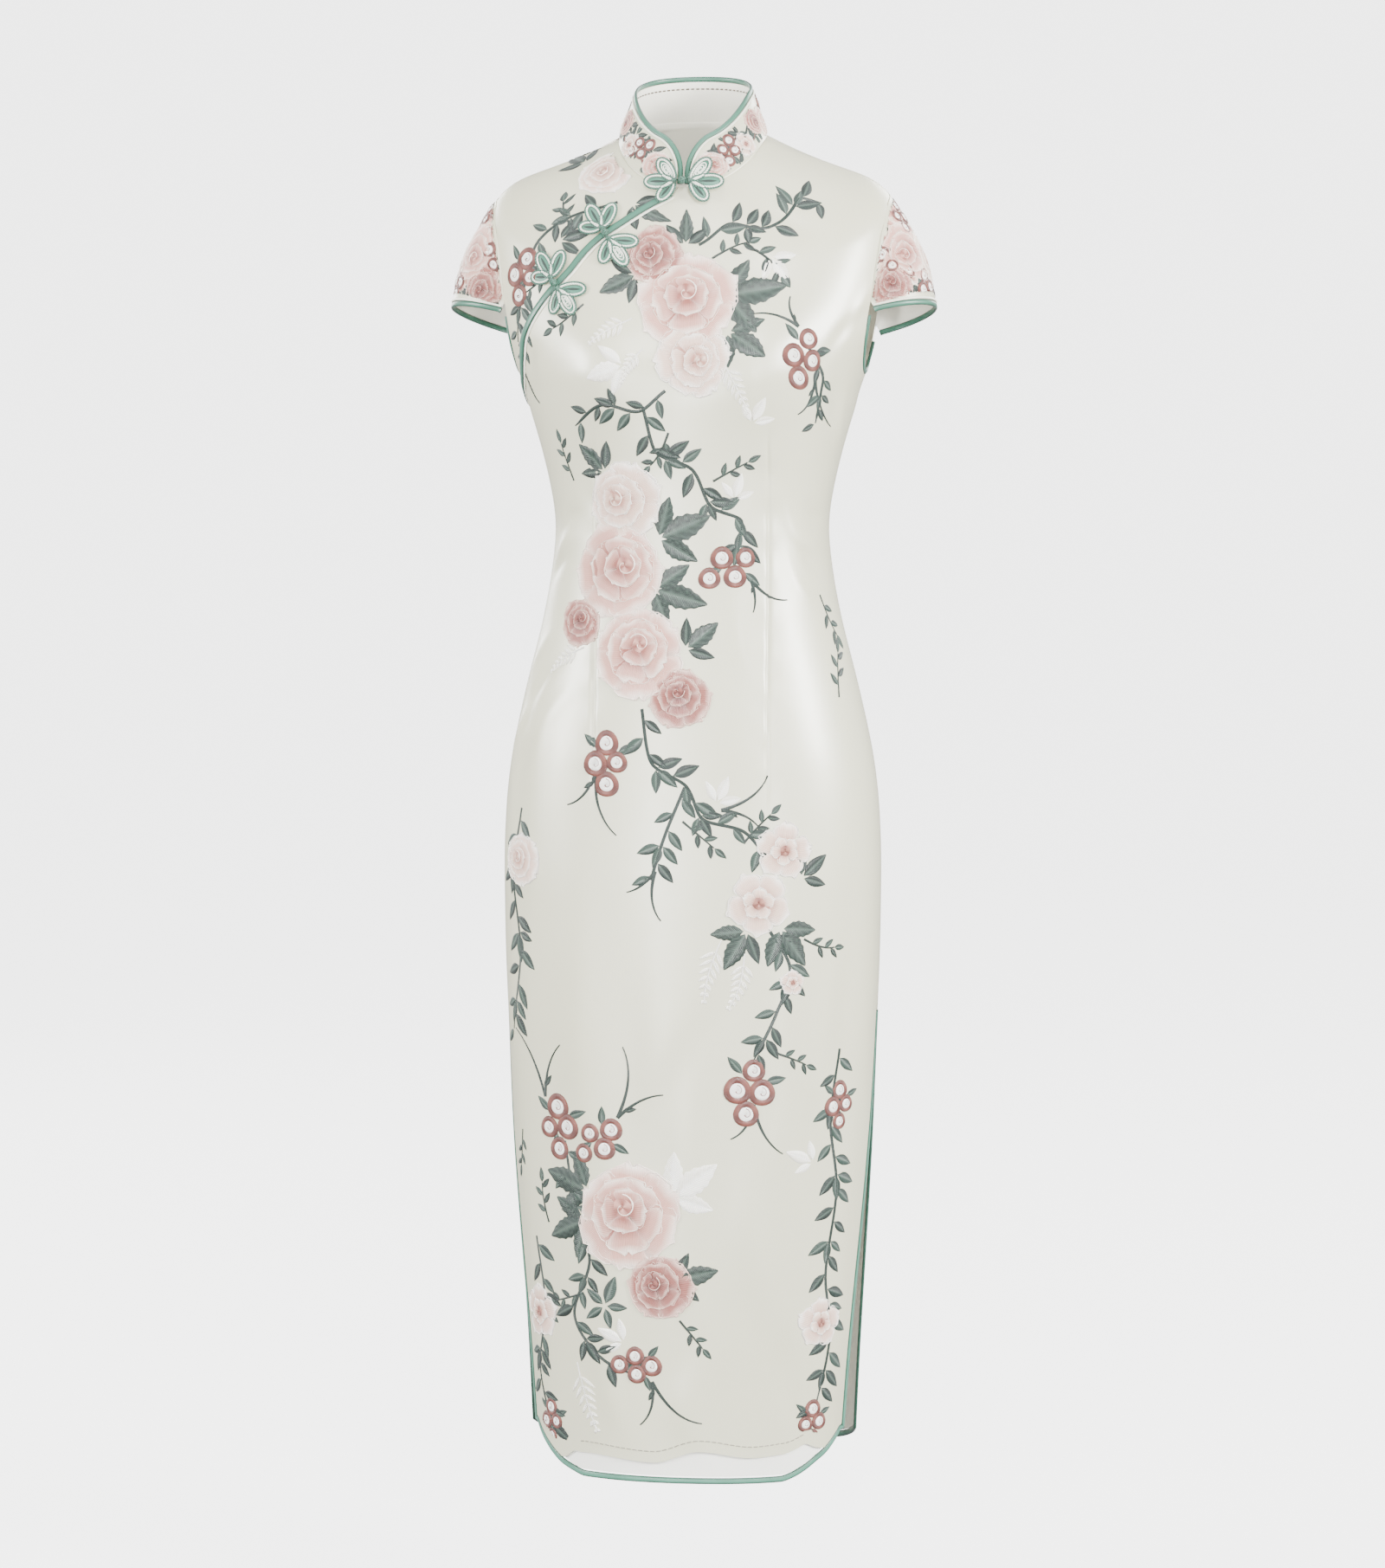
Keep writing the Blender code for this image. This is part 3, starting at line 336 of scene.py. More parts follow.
def body_place(angle, level):
    """Points of the cloth's outer face, as the solids have it."""
    angle, level = alike(angle, level)
    front_y = read(SECTIONS, "front_y", level)
    back_y = read(SECTIONS, "back_y", level)
    back_z = read(SECTIONS, "back_z", level)
    near = [level + SIDE_SOFTENING * step / 2 for step in (-2, -1, 0, 1, 2)]
    side_x, side_y, side_z = (
        sum(read(SECTIONS, column, at) for at in near) / len(near)
        for column in ("side_x", "side_y", "side_z")
    )
    sine, cosine = np.sin(np.radians(angle)), np.cos(np.radians(angle))
    depth = np.maximum(1 - np.abs(sine) ** RING_POWER, 0.0) ** (1 / RING_POWER)
    in_front = cosine >= 0
    narrowing = np.where(level < SLIT_TOP, read(SLIT, "narrowing", level), 0.0)
    front_x = side_x * sine * (1 - narrowing * smooth_step(cosine / SLIT_DRAW_IN))
    across = (np.abs(front_x) - CHEST_SHAPE.x) / CHEST_SHAPE.across
    down = (level - CHEST_SHAPE.level) / CHEST_SHAPE.down
    chest = CHEST_SHAPE.lift * depth * np.exp(-across * across - down * down)
    at_neck = smooth_step((level - SHOULDER_TIP) / (NECK - SHOULDER_TIP))
    climb = BACK_CLIMB + (NECK_CLIMB - BACK_CLIMB) * at_neck
    x = np.where(in_front, front_x, side_x * sine)
    own_y = np.where(in_front, front_y, back_y)
    y = side_y + (own_y - side_y) * depth - np.where(in_front, chest, 0.0)
    front_rise = (level - side_z) * depth**FRONT_CLIMB
    rise = np.where(in_front, front_rise, (back_z - side_z) * depth**climb)
    lift = fold_height(angle, level)
    return np.stack([x + lift * sine, y - lift * cosine, side_z + rise], axis=-1)


def surface_normal(place, first, second, first_step, second_step):
    """Outward directions of a surface whose first way runs round and whose second runs up."""
    round_way = place(first + first_step, second) - place(first - first_step, second)
    up_way = place(first, second + second_step) - place(first, second - second_step)
    return unit(np.cross(round_way, up_way))


def body_normal(angle, level):
    return surface_normal(body_place, angle, level, 1.0, 2.0)


def crease_height(angle, level, place):
    """Small creases, and the darts' grooves with the cloth puckered beside them."""
    total = np.zeros(level.shape)
    for crease in CREASES:
        lean = math.radians(crease.lean)
        aside = signed_angle(angle - crease.angle) * MM_PER_DEGREE
        up = level - crease.level
        along = (up * math.cos(lean) + aside * math.sin(lean)) / (crease.length / 2)
        bend = CREASE_BEND * crease.length * along * along
        across = (aside * math.cos(lean) - up * math.sin(lean) - bend) / crease.width
        total += crease.height * np.exp(-across * across - along * along)
    for dart in DART_LINES:
        aside = place[..., 0] - dart.across
        same_half = place[..., 1] < 0 if dart.front else place[..., 1] > 0
        share = np.clip((dart.top - level) / (dart.top - dart.bottom), 0.0, 1.0)
        taper = np.minimum(np.minimum(share, 1 - share) / DART_TAPER, 1.0)
        groove = -DART_DEPTH * np.exp(-((aside / DART_WIDTH) ** 2))
        beside = np.exp(-((aside / DART_PUCKER_WIDTH) ** 2))
        pucker = DART_PUCKER * np.sin(level / DART_PUCKER_SPACING + dart.across) * beside
        total += np.where(same_half, (groove + pucker * DART_PUCKER_SHARE) * taper, 0.0)
    return total


def satin_spot(angle, level):
    """Points of the satin's outer face, creases included, and the plain surface's directions."""
    angle, level = alike(angle, level)
    plain, out = body_place(angle, level), body_normal(angle, level)
    return plain + out * crease_height(angle, level, plain)[..., None], out


def cloth_place(angle, level):
    return satin_spot(angle, level)[0]


def cloth_spot(angle, level):
    """The same points, with the directions that the creases give them."""
    angle, level = alike(angle, level)
    return cloth_place(angle, level), surface_normal(cloth_place, angle, level, 0.4, 1.0)


# ---------------------------------------------------------------- where the panels end
def seam_angle(level):
    one_degree = np.linalg.norm(body_place(90.0, level) - body_place(89.0, level), axis=-1)
    return 0.55 * SEAM_GAP / one_degree


def panel_reach(level, column):
    """How far a panel reaches on either side of its own middle. The column is its edge's."""
    level = np.asarray(level, float)
    full = 90 - seam_angle(level)
    armhole = np.minimum(read(ARMHOLE, column, level), full)
    reach = np.where((level > UNDERARM) & (level < SHOULDER_TIP), armhole, full)
    return np.where(level < SLIT_TOP, full - read(SLIT, column, level), reach)


def front_reach(level):
    return panel_reach(level, "front_angle")


def back_reach(level):
    return panel_reach(level, "back_angle")


def opening_gap(level):
    return np.degrees(OPENING_HALF_GAP / read(SECTIONS, "side_x", level))


def front_span(level):
    level = np.asarray(level, float)
    cut = read(OPENING, "angle", level) + opening_gap(level)
    right = np.where(level > OPENING_END, np.maximum(-front_reach(level), cut), -front_reach(level))
    return right, front_reach(level)


def underlap_span(level):
    return -front_reach(level), read(OPENING, "angle", level) - opening_gap(level)


def back_span(level):
    return 180 - back_reach(level), 180 + back_reach(level)


def front_hem(angle):
    reach = front_reach(FRONT_HEM)
    past = np.maximum(np.abs(angle) - FRONT_CORNER_START, 0.0)
    along = past / (reach - FRONT_CORNER_START)
    rise = FRONT_CORNER_RISE * np.minimum(along, 1.0) ** FRONT_CORNER_POWER
    return FRONT_HEM + HEM_BINDING_WIDTH + SEAM_GAP + rise


def satin_hem(angle):
    inside = (angle > SATIN_HEM[0].angle) & (angle < SATIN_HEM[-1].angle)
    return front_hem(angle) + np.where(inside, read(SATIN_HEM, "rise", angle, "angle"), 0.0)


def back_hem(angle):
    along = np.abs(signed_angle(angle - 180)) / back_reach(BACK_HEM)
    rise = BACK_CORNER_RISE * np.minimum(along, 1.0) ** BACK_CORNER_POWER
    return BACK_HEM + HEM_BINDING_WIDTH + SEAM_GAP + rise


# ---------------------------------------------------------------- materials
class Signal:
    """One output of a material's nodes, which can be used in sums."""

    def __init__(self, shading, socket):
        self.shading, self.socket = shading, socket

    def maths(self, operation, *values):
        inputs = dict(enumerate(values))
        return self.shading.node("ShaderNodeMath", {"operation": operation}, inputs)

    def __add__(self, other):
        return self.maths("ADD", self, other)

    def __radd__(self, other):
        return self.maths("ADD", other, self)

    def __sub__(self, other):
        return self.maths("SUBTRACT", self, other)

    def __rsub__(self, other):
        return self.maths("SUBTRACT", other, self)

    def __mul__(self, other):
        return self.maths("MULTIPLY", self, other)

    def __rmul__(self, other):
        return self.maths("MULTIPLY", other, self)

    def sine(self):
        return self.maths("SINE", self)

    def cosine(self):
        return self.maths("COSINE", self)


class Shading:
    """A material made of nodes. Each method that makes a node gives its output back."""

    def __init__(self, name, **constants):
        self.material = bpy.data.materials.new(name)
        self.material.use_nodes = True
        self.tree = self.material.node_tree
        self.shader = self.tree.nodes["Principled BSDF"]
        for socket, value in constants.items():
            self.shader.inputs[socket.replace("_", " ")].default_value = value

    def feed(self, socket, value):
        if isinstance(value, Signal):
            self.tree.links.new(value.socket, socket)
        else:
            socket.default_value = value

    def node(self, kind, settings, values, output=0):
        made = self.tree.nodes.new(kind)
        for name, value in settings.items():
            setattr(made, name, value)
        for name, value in values.items():
            self.feed(made.inputs[name], value)
        return Signal(self, made.outputs[output])

    def mixed(self, first, second, factor):
        settings = {"data_type": "RGBA", "clamp_factor": True}
        return self.node("ShaderNodeMix", settings, {0: factor, 6: first, 7: second}, output=2)

    def coordinates(self, output="Object"):
        return self.node("ShaderNodeTexCoord", {}, {}, output=output)

    def threads(self):
        """The cloth's own coordinates, which run with its threads, and their two parts."""
        cloth = self.coordinates("UV")
        across = self.node("ShaderNodeSeparateXYZ", {}, {0: cloth}, output="X")
        return cloth, across, Signal(self, across.socket.node.outputs["Y"])

    def stretched(self, place, scale):
        return self.node("ShaderNodeVectorMath", {"operation": "MULTIPLY"}, {0: place, 1: scale})

    def noise(self, place, scale, detail=2.0):
        values = {"Vector": place, "Scale": scale, "Detail": detail}
        return self.node("ShaderNodeTexNoise", {}, values)

    def attribute(self, name):
        return self.node("ShaderNodeAttribute", {"attribute_name": name}, {}, output="Color")

    def set(self, socket, signal):
        self.feed(self.shader.inputs[socket], signal)

    def bumped(self, height, strength, distance):
        values = {"Height": height, "Strength": strength, "Distance": distance}
        self.set("Normal", self.node("ShaderNodeBump", {}, values, output="Normal"))


def linear(*srgb):
    """A colour as shaders take it, from its 0 to 255 values."""
    shares = [value / 255 for value in srgb]
    return (*(s / 12.92 if s <= 0.04045 else ((s + 0.055) / 1.055) ** 2.4 for s in shares), 1.0)


IVORY = linear(206, 205, 180)
WARM_IVORY = linear(190, 185, 154)
CREAM = linear(252, 250, 238)
MINT = linear(50, 94, 76)
# Painted highlight and painted shade of the mint bindings: the pale raised middle and the dark
# sewn-down edges
PAINTED_HIGHLIGHT_MINT = linear(96, 150, 130)
PAINTED_SHADE_GREEN = linear(26, 50, 40)
WHITE_THREAD = linear(242, 240, 232)


def woven(shading, threads_per_mm, strength, distance):
    """The satin's threads: floats along one way and a faint slant across them."""
    cloth, run, rise = shading.threads()
    turn = math.tau * threads_per_mm
    floats = (run * turn).sine()
    slant = ((run * 0.6 + rise) * (turn * 0.5)).sine()
    slubs = shading.noise(shading.stretched(cloth, (0.5, 0.06, 1.0)), 1.0)
    shading.bumped(floats * 0.35 + slant * 0.2 + slubs * 1.2, strength, distance)


def satin_material():
    satin = Shading("ivory_satin_cloth", Anisotropic=0.3, Specular_IOR_Level=1.0, Coat_Weight=0.3)
    satin.shader.inputs["Coat Roughness"].default_value = 0.24
    place = satin.coordinates()
    broad = satin.noise(place, 4.0, 3.0)
    fine = satin.noise(place, 90.0, 2.0)
    satin.set("Base Color", satin.mixed(IVORY, WARM_IVORY, broad * 0.6 + fine * 0.15 - 0.1))
    satin.set("Roughness", broad * 0.08 + fine * 0.05 + 0.29)
    woven(satin, 1.1, 0.12, 0.0003)
    return satin.material


def plain_material(name, first, second, roughness, threads_per_mm):
    cloth = Shading(name, Sheen_Weight=0.15, Sheen_Roughness=0.5)
    place = cloth.coordinates()
    broad = cloth.noise(place, 6.0, 3.0)
    cloth.set("Base Color", cloth.mixed(first, second, broad))
    cloth.set("Roughness", broad * 0.1 + roughness)
    woven(cloth, threads_per_mm, 0.2, 0.0003)
    return cloth.material


def binding_material(name, painted_highlight_strength):
    """Mint satin folded over an edge, with a painted highlight on its raised middle and painted
    shade, in dark green, where it is sewn down.
    """
    binding = Shading(name, Sheen_Weight=0.1, Anisotropic=0.4)
    _, across, along = binding.threads()
    # Share of the painted highlight across the strip: highest on its raised middle, lowest at its
    # sewn-down edges
    middle = ((across - 0.25) * (2 * math.tau)).cosine() * 0.5 + 0.3
    place = binding.coordinates()
    mottle = binding.noise(place, 55.0, 2.0)
    # Painted shade: dark green towards the sewn-down edges, with random mottle
    shaded_mint = binding.mixed(PAINTED_SHADE_GREEN, MINT, middle * 0.9 + mottle * 0.4 + 0.3)
    # Painted highlight: pale mint on the raised middle
    raised = (middle + mottle * 0.3 - 0.55) * painted_highlight_strength
    binding.set("Base Color", binding.mixed(shaded_mint, PAINTED_HIGHLIGHT_MINT, raised))
    binding.set("Roughness", mottle * 0.1 + 0.3)
    stitches = (along * (math.tau / 2.6)).sine()
    binding.bumped(stitches * 0.12 + mottle, 0.25, 0.0003)
    return binding.material


def cord_material(name, light, dark):
    """Twisted cord: the strands wind round it, with the dark tone as painted shade in the grooves
    between them.
    """
    cord = Shading(name, Sheen_Weight=0.2)
    _, around, along = cord.threads()
    strands = ((around * 2.0 + along * 0.42) * math.tau).sine()
    # Painted shade: the dark tone fills the grooves between the strands
    cord.set("Base Color", cord.mixed(dark, light, strands * 0.5 + 0.55))
    cord.set("Roughness", strands * 0.04 + 0.4)
    cord.bumped(strands, 0.45, 0.0004)
    return cord.material


def thread_material():
    """Silk thread laid side by side, in the colour kept on each stitch's corners."""
    thread = Shading("silk_thread", Sheen_Weight=0.1, Anisotropic=0.4)
    cloth, across, _ = thread.threads()
    strands = (across * (math.tau / STITCH_WIDTH)).sine()
    uneven = thread.noise(thread.stretched(cloth, (0.9, 0.2, 1.0)), 1.0)
    colour = thread.attribute("thread_colour")
    # Partly painted shade, darker in the grooves between the laid strands, and partly random uneven
    # tone
    shaded = thread.stretched(colour, (0.7, 0.7, 0.7))
    thread.set("Base Color", thread.mixed(colour, shaded, strands * 0.35 + uneven * 0.7 - 0.2))
    thread.set("Roughness", uneven * 0.15 + 0.36)
    thread.bumped(strands * 0.6 + uneven, 0.6, 0.0004)
    return thread.material


def floor_material():
    floor = Shading("studio_paper", Emission_Color=(1.0, 1.0, 0.995, 1.0), Emission_Strength=3.8)
    grain = floor.noise(floor.coordinates(), 3.0, 4.0)
    floor.set("Base Color", floor.mixed(linear(150, 150, 150), linear(146, 146, 146), grain))
    floor.set("Roughness", grain * 0.1 + 0.8)
    return floor.material


SATIN = satin_material()
LINING = plain_material("cream_lining", CREAM, linear(248, 245, 230), 0.5, 0.9)
PLAIN_TONES = linear(244, 243, 236), linear(236, 235, 226)
PLAIN_LAYER = plain_material("plain_white_layer", *PLAIN_TONES, 0.48, 0.9)
BINDING = binding_material("mint_satin_binding", 0.5)
# The hem's binding gets a stronger painted highlight
HEM_BINDING = binding_material("mint_satin_hem_binding", 1.5)
PIPING = plain_material("white_satin_piping", WHITE_THREAD, IVORY, 0.3, 1.4)
MINT_CORD = cord_material("mint_cord_strands", linear(54, 104, 84), linear(20, 50, 38))
WHITE_CORD = cord_material("white_cord_strands", linear(240, 240, 228), linear(182, 194, 176))
PAD_TONES = linear(84, 136, 116), linear(48, 96, 78)
MINT_PAD = plain_material("mint_satin_pad", *PAD_TONES, 0.32, 1.6)
# Painted shade: a dark strip laid in the plain loops of the frogs, standing for the shade in each
# loop's opening
PAINTED_SHADE_SLIT = plain_material("painted_shade_slit", linear(30, 50, 42), linear(18, 34, 28), 0.6, 1.2)
SILK = thread_material()
PAPER = floor_material()


# ---------------------------------------------------------------- gathering and making meshes
PLAIN = (1.0, 1.0, 1.0, 1.0)
SHARP_EDGE = math.radians(55)


class Gathered:
    """Points, faces, thread coordinates and colours that become one piece."""

    def __init__(self):
        self.points, self.faces, self.corners, self.colours, self.kinds = [], [], [], [], []
        self.count = 0

    def add(self, points, faces, corners, kind=0, colour=PLAIN):
        self.points.append(points)
        colours = np.asarray(colour, float).reshape(-1, 4)
        self.colours.append(np.broadcast_to(colours, (len(points), 4)))
        self.faces += [[self.count + i for i in face] for face in faces]
        self.corners.append(corners)
        self.kinds += [kind] * len(faces)
        self.count += len(points)

    def grid(self, points, uv, kind=0, flipped=False):
        """Quads over rows and columns of points, facing row cross column unless flipped."""
        quads = quads_of(np.arange(points[..., 0].size).reshape(points.shape[:2]))
        if flipped:
            quads = quads[:, ::-1]
        corners = uv.reshape(-1, 2)[quads].reshape(-1, 2)
        self.add(points.reshape(-1, 3), quads.tolist(), corners, kind)

    def tube(self, centres, outs, profile, kind=0, closed=False):
        """A tube through the centres. The profile is (beside, out) for each corner of its ring,
        or one such ring for every centre."""
        count = len(centres)
        if closed:
            ways = np.roll(centres, -1, 0) - np.roll(centres, 1, 0)
        else:
            ways = np.gradient(centres, axis=0)
        beside = unit(np.cross(unit(ways), outs))
        rings = np.broadcast_to(profile, (count,) + profile.shape[-2:])
        points = centres[:, None] + beside[:, None] * rings[..., :1]
        points = points + outs[:, None] * rings[..., 1:]
        sides = points.shape[1]
        along = distances_along(centres)
        if closed:
            along = np.append(along, along[-1] + np.linalg.norm(centres[0] - centres[-1]))
        index = np.arange(count * sides).reshape(count, sides)
        index = np.concatenate([index, index[:, :1]], axis=1)
        if closed:
            index = np.concatenate([index, index[:1]], axis=0)
        around = np.linspace(0.0, 1.0, sides + 1)
        uv = stacked(around[None, :], along[:, None])
        quads = quads_of(index)
        corners = quads_of(np.arange(uv.shape[0] * uv.shape[1]).reshape(uv.shape[:2]))
        flat = points.reshape(-1, 3)
        a, b, c, d = (flat[quads[:, i]] for i in range(4))
        volume = (np.cross(a, b) * c).sum() + (np.cross(a, c) * d).sum()
        if volume < 0:
            quads, corners = quads[:, ::-1], corners[:, ::-1]
        faces = quads.tolist()
        face_uv = uv.reshape(-1, 2)[corners].reshape(-1, 2)
        if not closed:
            first = list(range(sides))
            last = [corner + (count - 1) * sides for corner in first]
            caps = [first, last[::-1]] if volume < 0 else [first[::-1], last]
            faces += caps
            face_uv = np.concatenate([face_uv, np.zeros((2 * sides, 2))])
        self.add(flat, faces, face_uv, kind)


def quads_of(index):
    ring = [index[:-1, :-1], index[:-1, 1:], index[1:, 1:], index[1:, :-1]]
    return np.stack(ring, axis=-1).reshape(-1, 4)


def round_profile(width, thickness, sides, power=2.0):
    """The corners of a rounded ring: power 2 is an ellipse and a larger one is squarer."""
    turn = math.tau * np.arange(sides) / sides
    across, out = np.cos(turn), np.sin(turn)
    shape = (np.abs(across) ** power + np.abs(out) ** power) ** (-1 / power)
    return np.stack([across * shape * width / 2, out * shape * thickness / 2], axis=-1)


def make_piece(name, gathered, materials, stands_for=()):
    """The gathered faces as one piece that rides on the dress."""
    mesh = bpy.data.meshes.new(name)
    mesh.from_pydata((np.concatenate(gathered.points) * MM).tolist(), [], gathered.faces)
    threads = mesh.uv_layers.new(name="threads")
    threads.data.foreach_set("uv", np.concatenate(gathered.corners).astype(np.float32).ravel())
    colours = mesh.attributes.new("thread_colour", "FLOAT_COLOR", "POINT")
    shades = np.concatenate(gathered.colours).astype(np.float32)
    colours.data.foreach_set("color", shades.ravel())
    for material in materials:
        mesh.materials.append(material)
    mesh.polygons.foreach_set("material_index", gathered.kinds)
    mesh.shade_smooth()
    mesh.set_sharp_from_angle(angle=SHARP_EDGE)
    made = bpy.data.objects.new(name, mesh)
    bpy.context.scene.collection.objects.link(made)
    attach(made, BODY)
    if stands_for:
        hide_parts(*stands_for)
    return made


def add_shell(gathered, points, outs, uv, thickness, depth=0.0):
    """A closed thin sheet: its outer face is kind 0 and its lining kind 1. Rows run upwards."""
    outer = points - outs * depth
    inner = points - outs * (depth + thickness)
    rows, columns = points.shape[:2]
    count = rows * columns
    index = np.arange(count).reshape(rows, columns)
    rim = np.concatenate([index[0], index[1:, -1], index[-1, -2::-1], index[-2:0:-1, 0]])
    following = np.roll(rim, -1)
    flat_uv = uv.reshape(-1, 2)
    quads = quads_of(index)
    edge = np.stack([rim, rim + count, following + count, following], axis=-1)
    everything = np.concatenate([quads, quads[:, ::-1] + count, edge])
    both = np.concatenate([outer.reshape(-1, 3), inner.reshape(-1, 3)])
    both_uv = np.concatenate([flat_uv, flat_uv])
    gathered.add(both, everything.tolist(), both_uv[everything].reshape(-1, 2))
    gathered.kinds[-len(everything) :] = [0] * len(quads) + [1] * len(quads) + [0] * len(edge)


# ---------------------------------------------------------------- panels
FINE_SHARES = np.linspace(0.0, 1.0, 24, endpoint=False)
PANEL_PARTS = ("bodice", "hips", "skirt")
DART_STOPS = (0.28, 0.72)
DART_EASING = 1.5
SKIRT_ROWS, CHEST_ROWS, UNDERLAP_ROWS = 180, 58, 60
FRONT_COLUMNS, BACK_COLUMNS, UNDERLAP_COLUMNS, BAND_COLUMNS = 102, 88, 34, 100
CHEST_START, UNDERLAP_START = -228, -226
DARTS_FADE_START = OPENING_END - 6
DARTS_FADE = 30


def dart_angle(dart, level):
    """The angle at which a dart's line lies on this ring."""
    side = read(SECTIONS, "side_x", level)
    lean = np.degrees(np.arcsin(np.clip(dart.across / side, -0.98, 0.98)))
    return lean if dart.front else 180 - lean


def drawn_columns(shares, level, right, left, darts):
    """Angles of a row's columns: close together beside a dart, evenly spread above the darts."""
    even = right[:, None] + (left - right)[:, None] * shares[None, :]
    if not darts:
        return even
    marks = sorted((dart_angle(dart, level) for dart in darts), key=lambda angles: angles.mean())
    stops = [0.0, *DART_STOPS, 1.0]
    ends = [right, *marks, left]
    found = np.zeros_like(even)
    for i in range(3):
        inside = (shares >= stops[i]) & (shares <= stops[i + 1])
        t = (shares[inside] - stops[i]) / (stops[i + 1] - stops[i])
        if i == 0:
            eased = 1 - (1 - t) ** DART_EASING
        elif i == 2:
            eased = t**DART_EASING
        else:
            later = 1 - 0.5 * (2 - 2 * t) ** DART_EASING
            eased = np.where(t < 0.5, 0.5 * (2 * t) ** DART_EASING, later)
        found[:, inside] = ends[i][:, None] + (ends[i + 1] - ends[i])[:, None] * eased[None, :]
    below = smooth_step((DARTS_FADE_START - level) / DARTS_FADE)[:, None]
    return even * (1 - below) + found * below


def panel_places(levels, span, columns, hem=None, darts=()):
    """(angle, level) for each row and column of a panel, with the rows near a hem following it."""
    shares = np.linspace(0.0, 1.0, columns + 1)
    levels = np.asarray(levels, float)
    right, left = span(levels)
    angle = drawn_columns(shares, levels, right, left, darts)
    level = np.repeat(levels[:, None], columns + 1, axis=1)
    if hem is None:
        return angle, level
    first = angle[0]
    low_level = hem(first)[None, :] + (levels[0] - hem(first))[None, :] * FINE_SHARES[:, None]
    right, left = span(low_level)
    first_right, first_left = span(levels[0])
    share = (first - first_right) / (first_left - first_right)
    low_angle = right + (left - right) * share[None, :]
    return np.concatenate([low_angle, angle]), np.concatenate([low_level, level])


def cloth_shell(name, places, materials, nodes, thickness=SHELL, depth=0.0):
    angle, level = places
    points, outs = cloth_spot(angle, level)
    aside = signed_angle(angle - 180 * (angle.mean() > 90)) * MM_PER_DEGREE
    uv = np.stack([aside, level], axis=-1)
    gathered = Gathered()
    add_shell(gathered, points, outs, uv, thickness, depth)
    return make_piece(name, gathered, materials, nodes)


def make_panels():
    satin = [SATIN, LINING]
    skirt_levels = np.linspace(HEM_ROWS_START, OPENING_END, SKIRT_ROWS)
    levels = np.concatenate([skirt_levels, np.linspace(CHEST_START, NECK, CHEST_ROWS)])
    panels = []
    ways = {
        "front": (front_span, FRONT_COLUMNS, satin_hem),
        "back": (back_span, BACK_COLUMNS, back_hem),
    }
    for name, (span, columns, hem) in ways.items():
        darts = [dart for dart in DART_LINES if dart.front == (name == "front")]
        places = panel_places(levels, span, columns, hem, darts)
        nodes = [f"{name}_panel_{part}" for part in PANEL_PARTS]
        panels.append(cloth_shell(f"{name}_panel_satin", places, satin, nodes))
    chest_levels = np.linspace(UNDERLAP_START, NECK, UNDERLAP_ROWS)
    places = panel_places(chest_levels, underlap_span, UNDERLAP_COLUMNS)
    node = "chest_underlap"
    underlap = cloth_shell(f"{node}_satin", places, satin, [node])

    def band_span(level):
        return tuple(np.full(np.shape(level), float(end)) for end in (BAND_RIGHT, BAND_LEFT))

    def band_hem(angle):
        return front_hem(angle) + LAYER_GAP

    places = panel_places([BAND_TOP], band_span, BAND_COLUMNS, band_hem)
    layers, node = [PLAIN_LAYER, PLAIN_LAYER], "front_hem_band"
    depth = CLOTH + LAYER_GAP + 0.2
    band = cloth_shell(f"{node}_cloth", places, layers, [node], BAND_SHELL, depth)
    return *panels, underlap, band


# ---------------------------------------------------------------- bindings and piping
SHARPEST_TURN = 0.6
WIDEST_SPREAD = 1.5
STRIP_SIDES = 14
STRIP_SQUARENESS = 2.6
OPENING_SQUARENESS = 2.4
SLIT_ROWS, CORNER_ROWS = 84, 14
FRONT_HEM_COLUMNS, BACK_HEM_COLUMNS = 150, 130
ARMHOLE_STATIONS = 72
HEAD_STATIONS = 180


def edge_stations(points, outs, offset, depth):
    """Centres beside an edge: offset to its right as one walks it, depth below the outer face."""
    ways = unit(np.diff(points, axis=0))
    before = np.concatenate([ways[:1], ways])
    after = np.concatenate([ways, ways[-1:]])
    walk = unit(before + after)
    spread = np.minimum(1 / np.maximum((walk * before).sum(-1), SHARPEST_TURN), WIDEST_SPREAD)
    beside = unit(np.cross(walk, outs))
    return points + beside * (offset * spread)[:, None] - outs * np.reshape(depth, (-1, 1))


def bound_edge(span, hem, columns):
    """Down one slit, along the hem and up the other slit: (angle, level)."""
    down = np.linspace(SLIT_BINDING_TOP, HEM_ROWS_START, SLIT_ROWS, endpoint=False)
    corners = span(HEM_ROWS_START)
    sides = []
    for i, corner in enumerate(corners):
        last = np.linspace(HEM_ROWS_START, hem(corner), CORNER_ROWS, endpoint=False)
        levels = np.concatenate([down, last])
        sides.append((span(levels)[i], levels))
    shares = np.linspace(0.0, 1.0, columns + 1)
    level = hem(corners[0] + (corners[1] - corners[0]) * shares)
    right, left = span(level)
    bottom = (right + (left - right) * shares, level)
    parts = [sides[0], bottom, (sides[1][0][::-1], sides[1][1][::-1])]
    return tuple(np.concatenate([part[i] for part in parts]) for i in range(2))


def make_tube(name, centres, outs, profile, material, nodes):
    gathered = Gathered()
    gathered.tube(centres, outs, profile)
    make_piece(name, gathered, [material], nodes)


def make_binding(name, node, points, outs, width, depth, gap=SEAM_GAP, material=BINDING):
    """A strip folded over an edge, in place of the solid of that node."""
    centres = edge_stations(points, outs, gap + width / 2, depth)
    profile = round_profile(width, BINDING_THICKNESS, STRIP_SIDES, STRIP_SQUARENESS)
    make_tube(name, centres, outs, profile, material, (node,))


def make_piping(name, points, outs, beside, lift, profile):
    """The white cord sewn beside a binding."""
    centres = edge_stations(points, outs, -beside, -lift)
    make_tube(name, centres, outs, profile, PIPING, ())


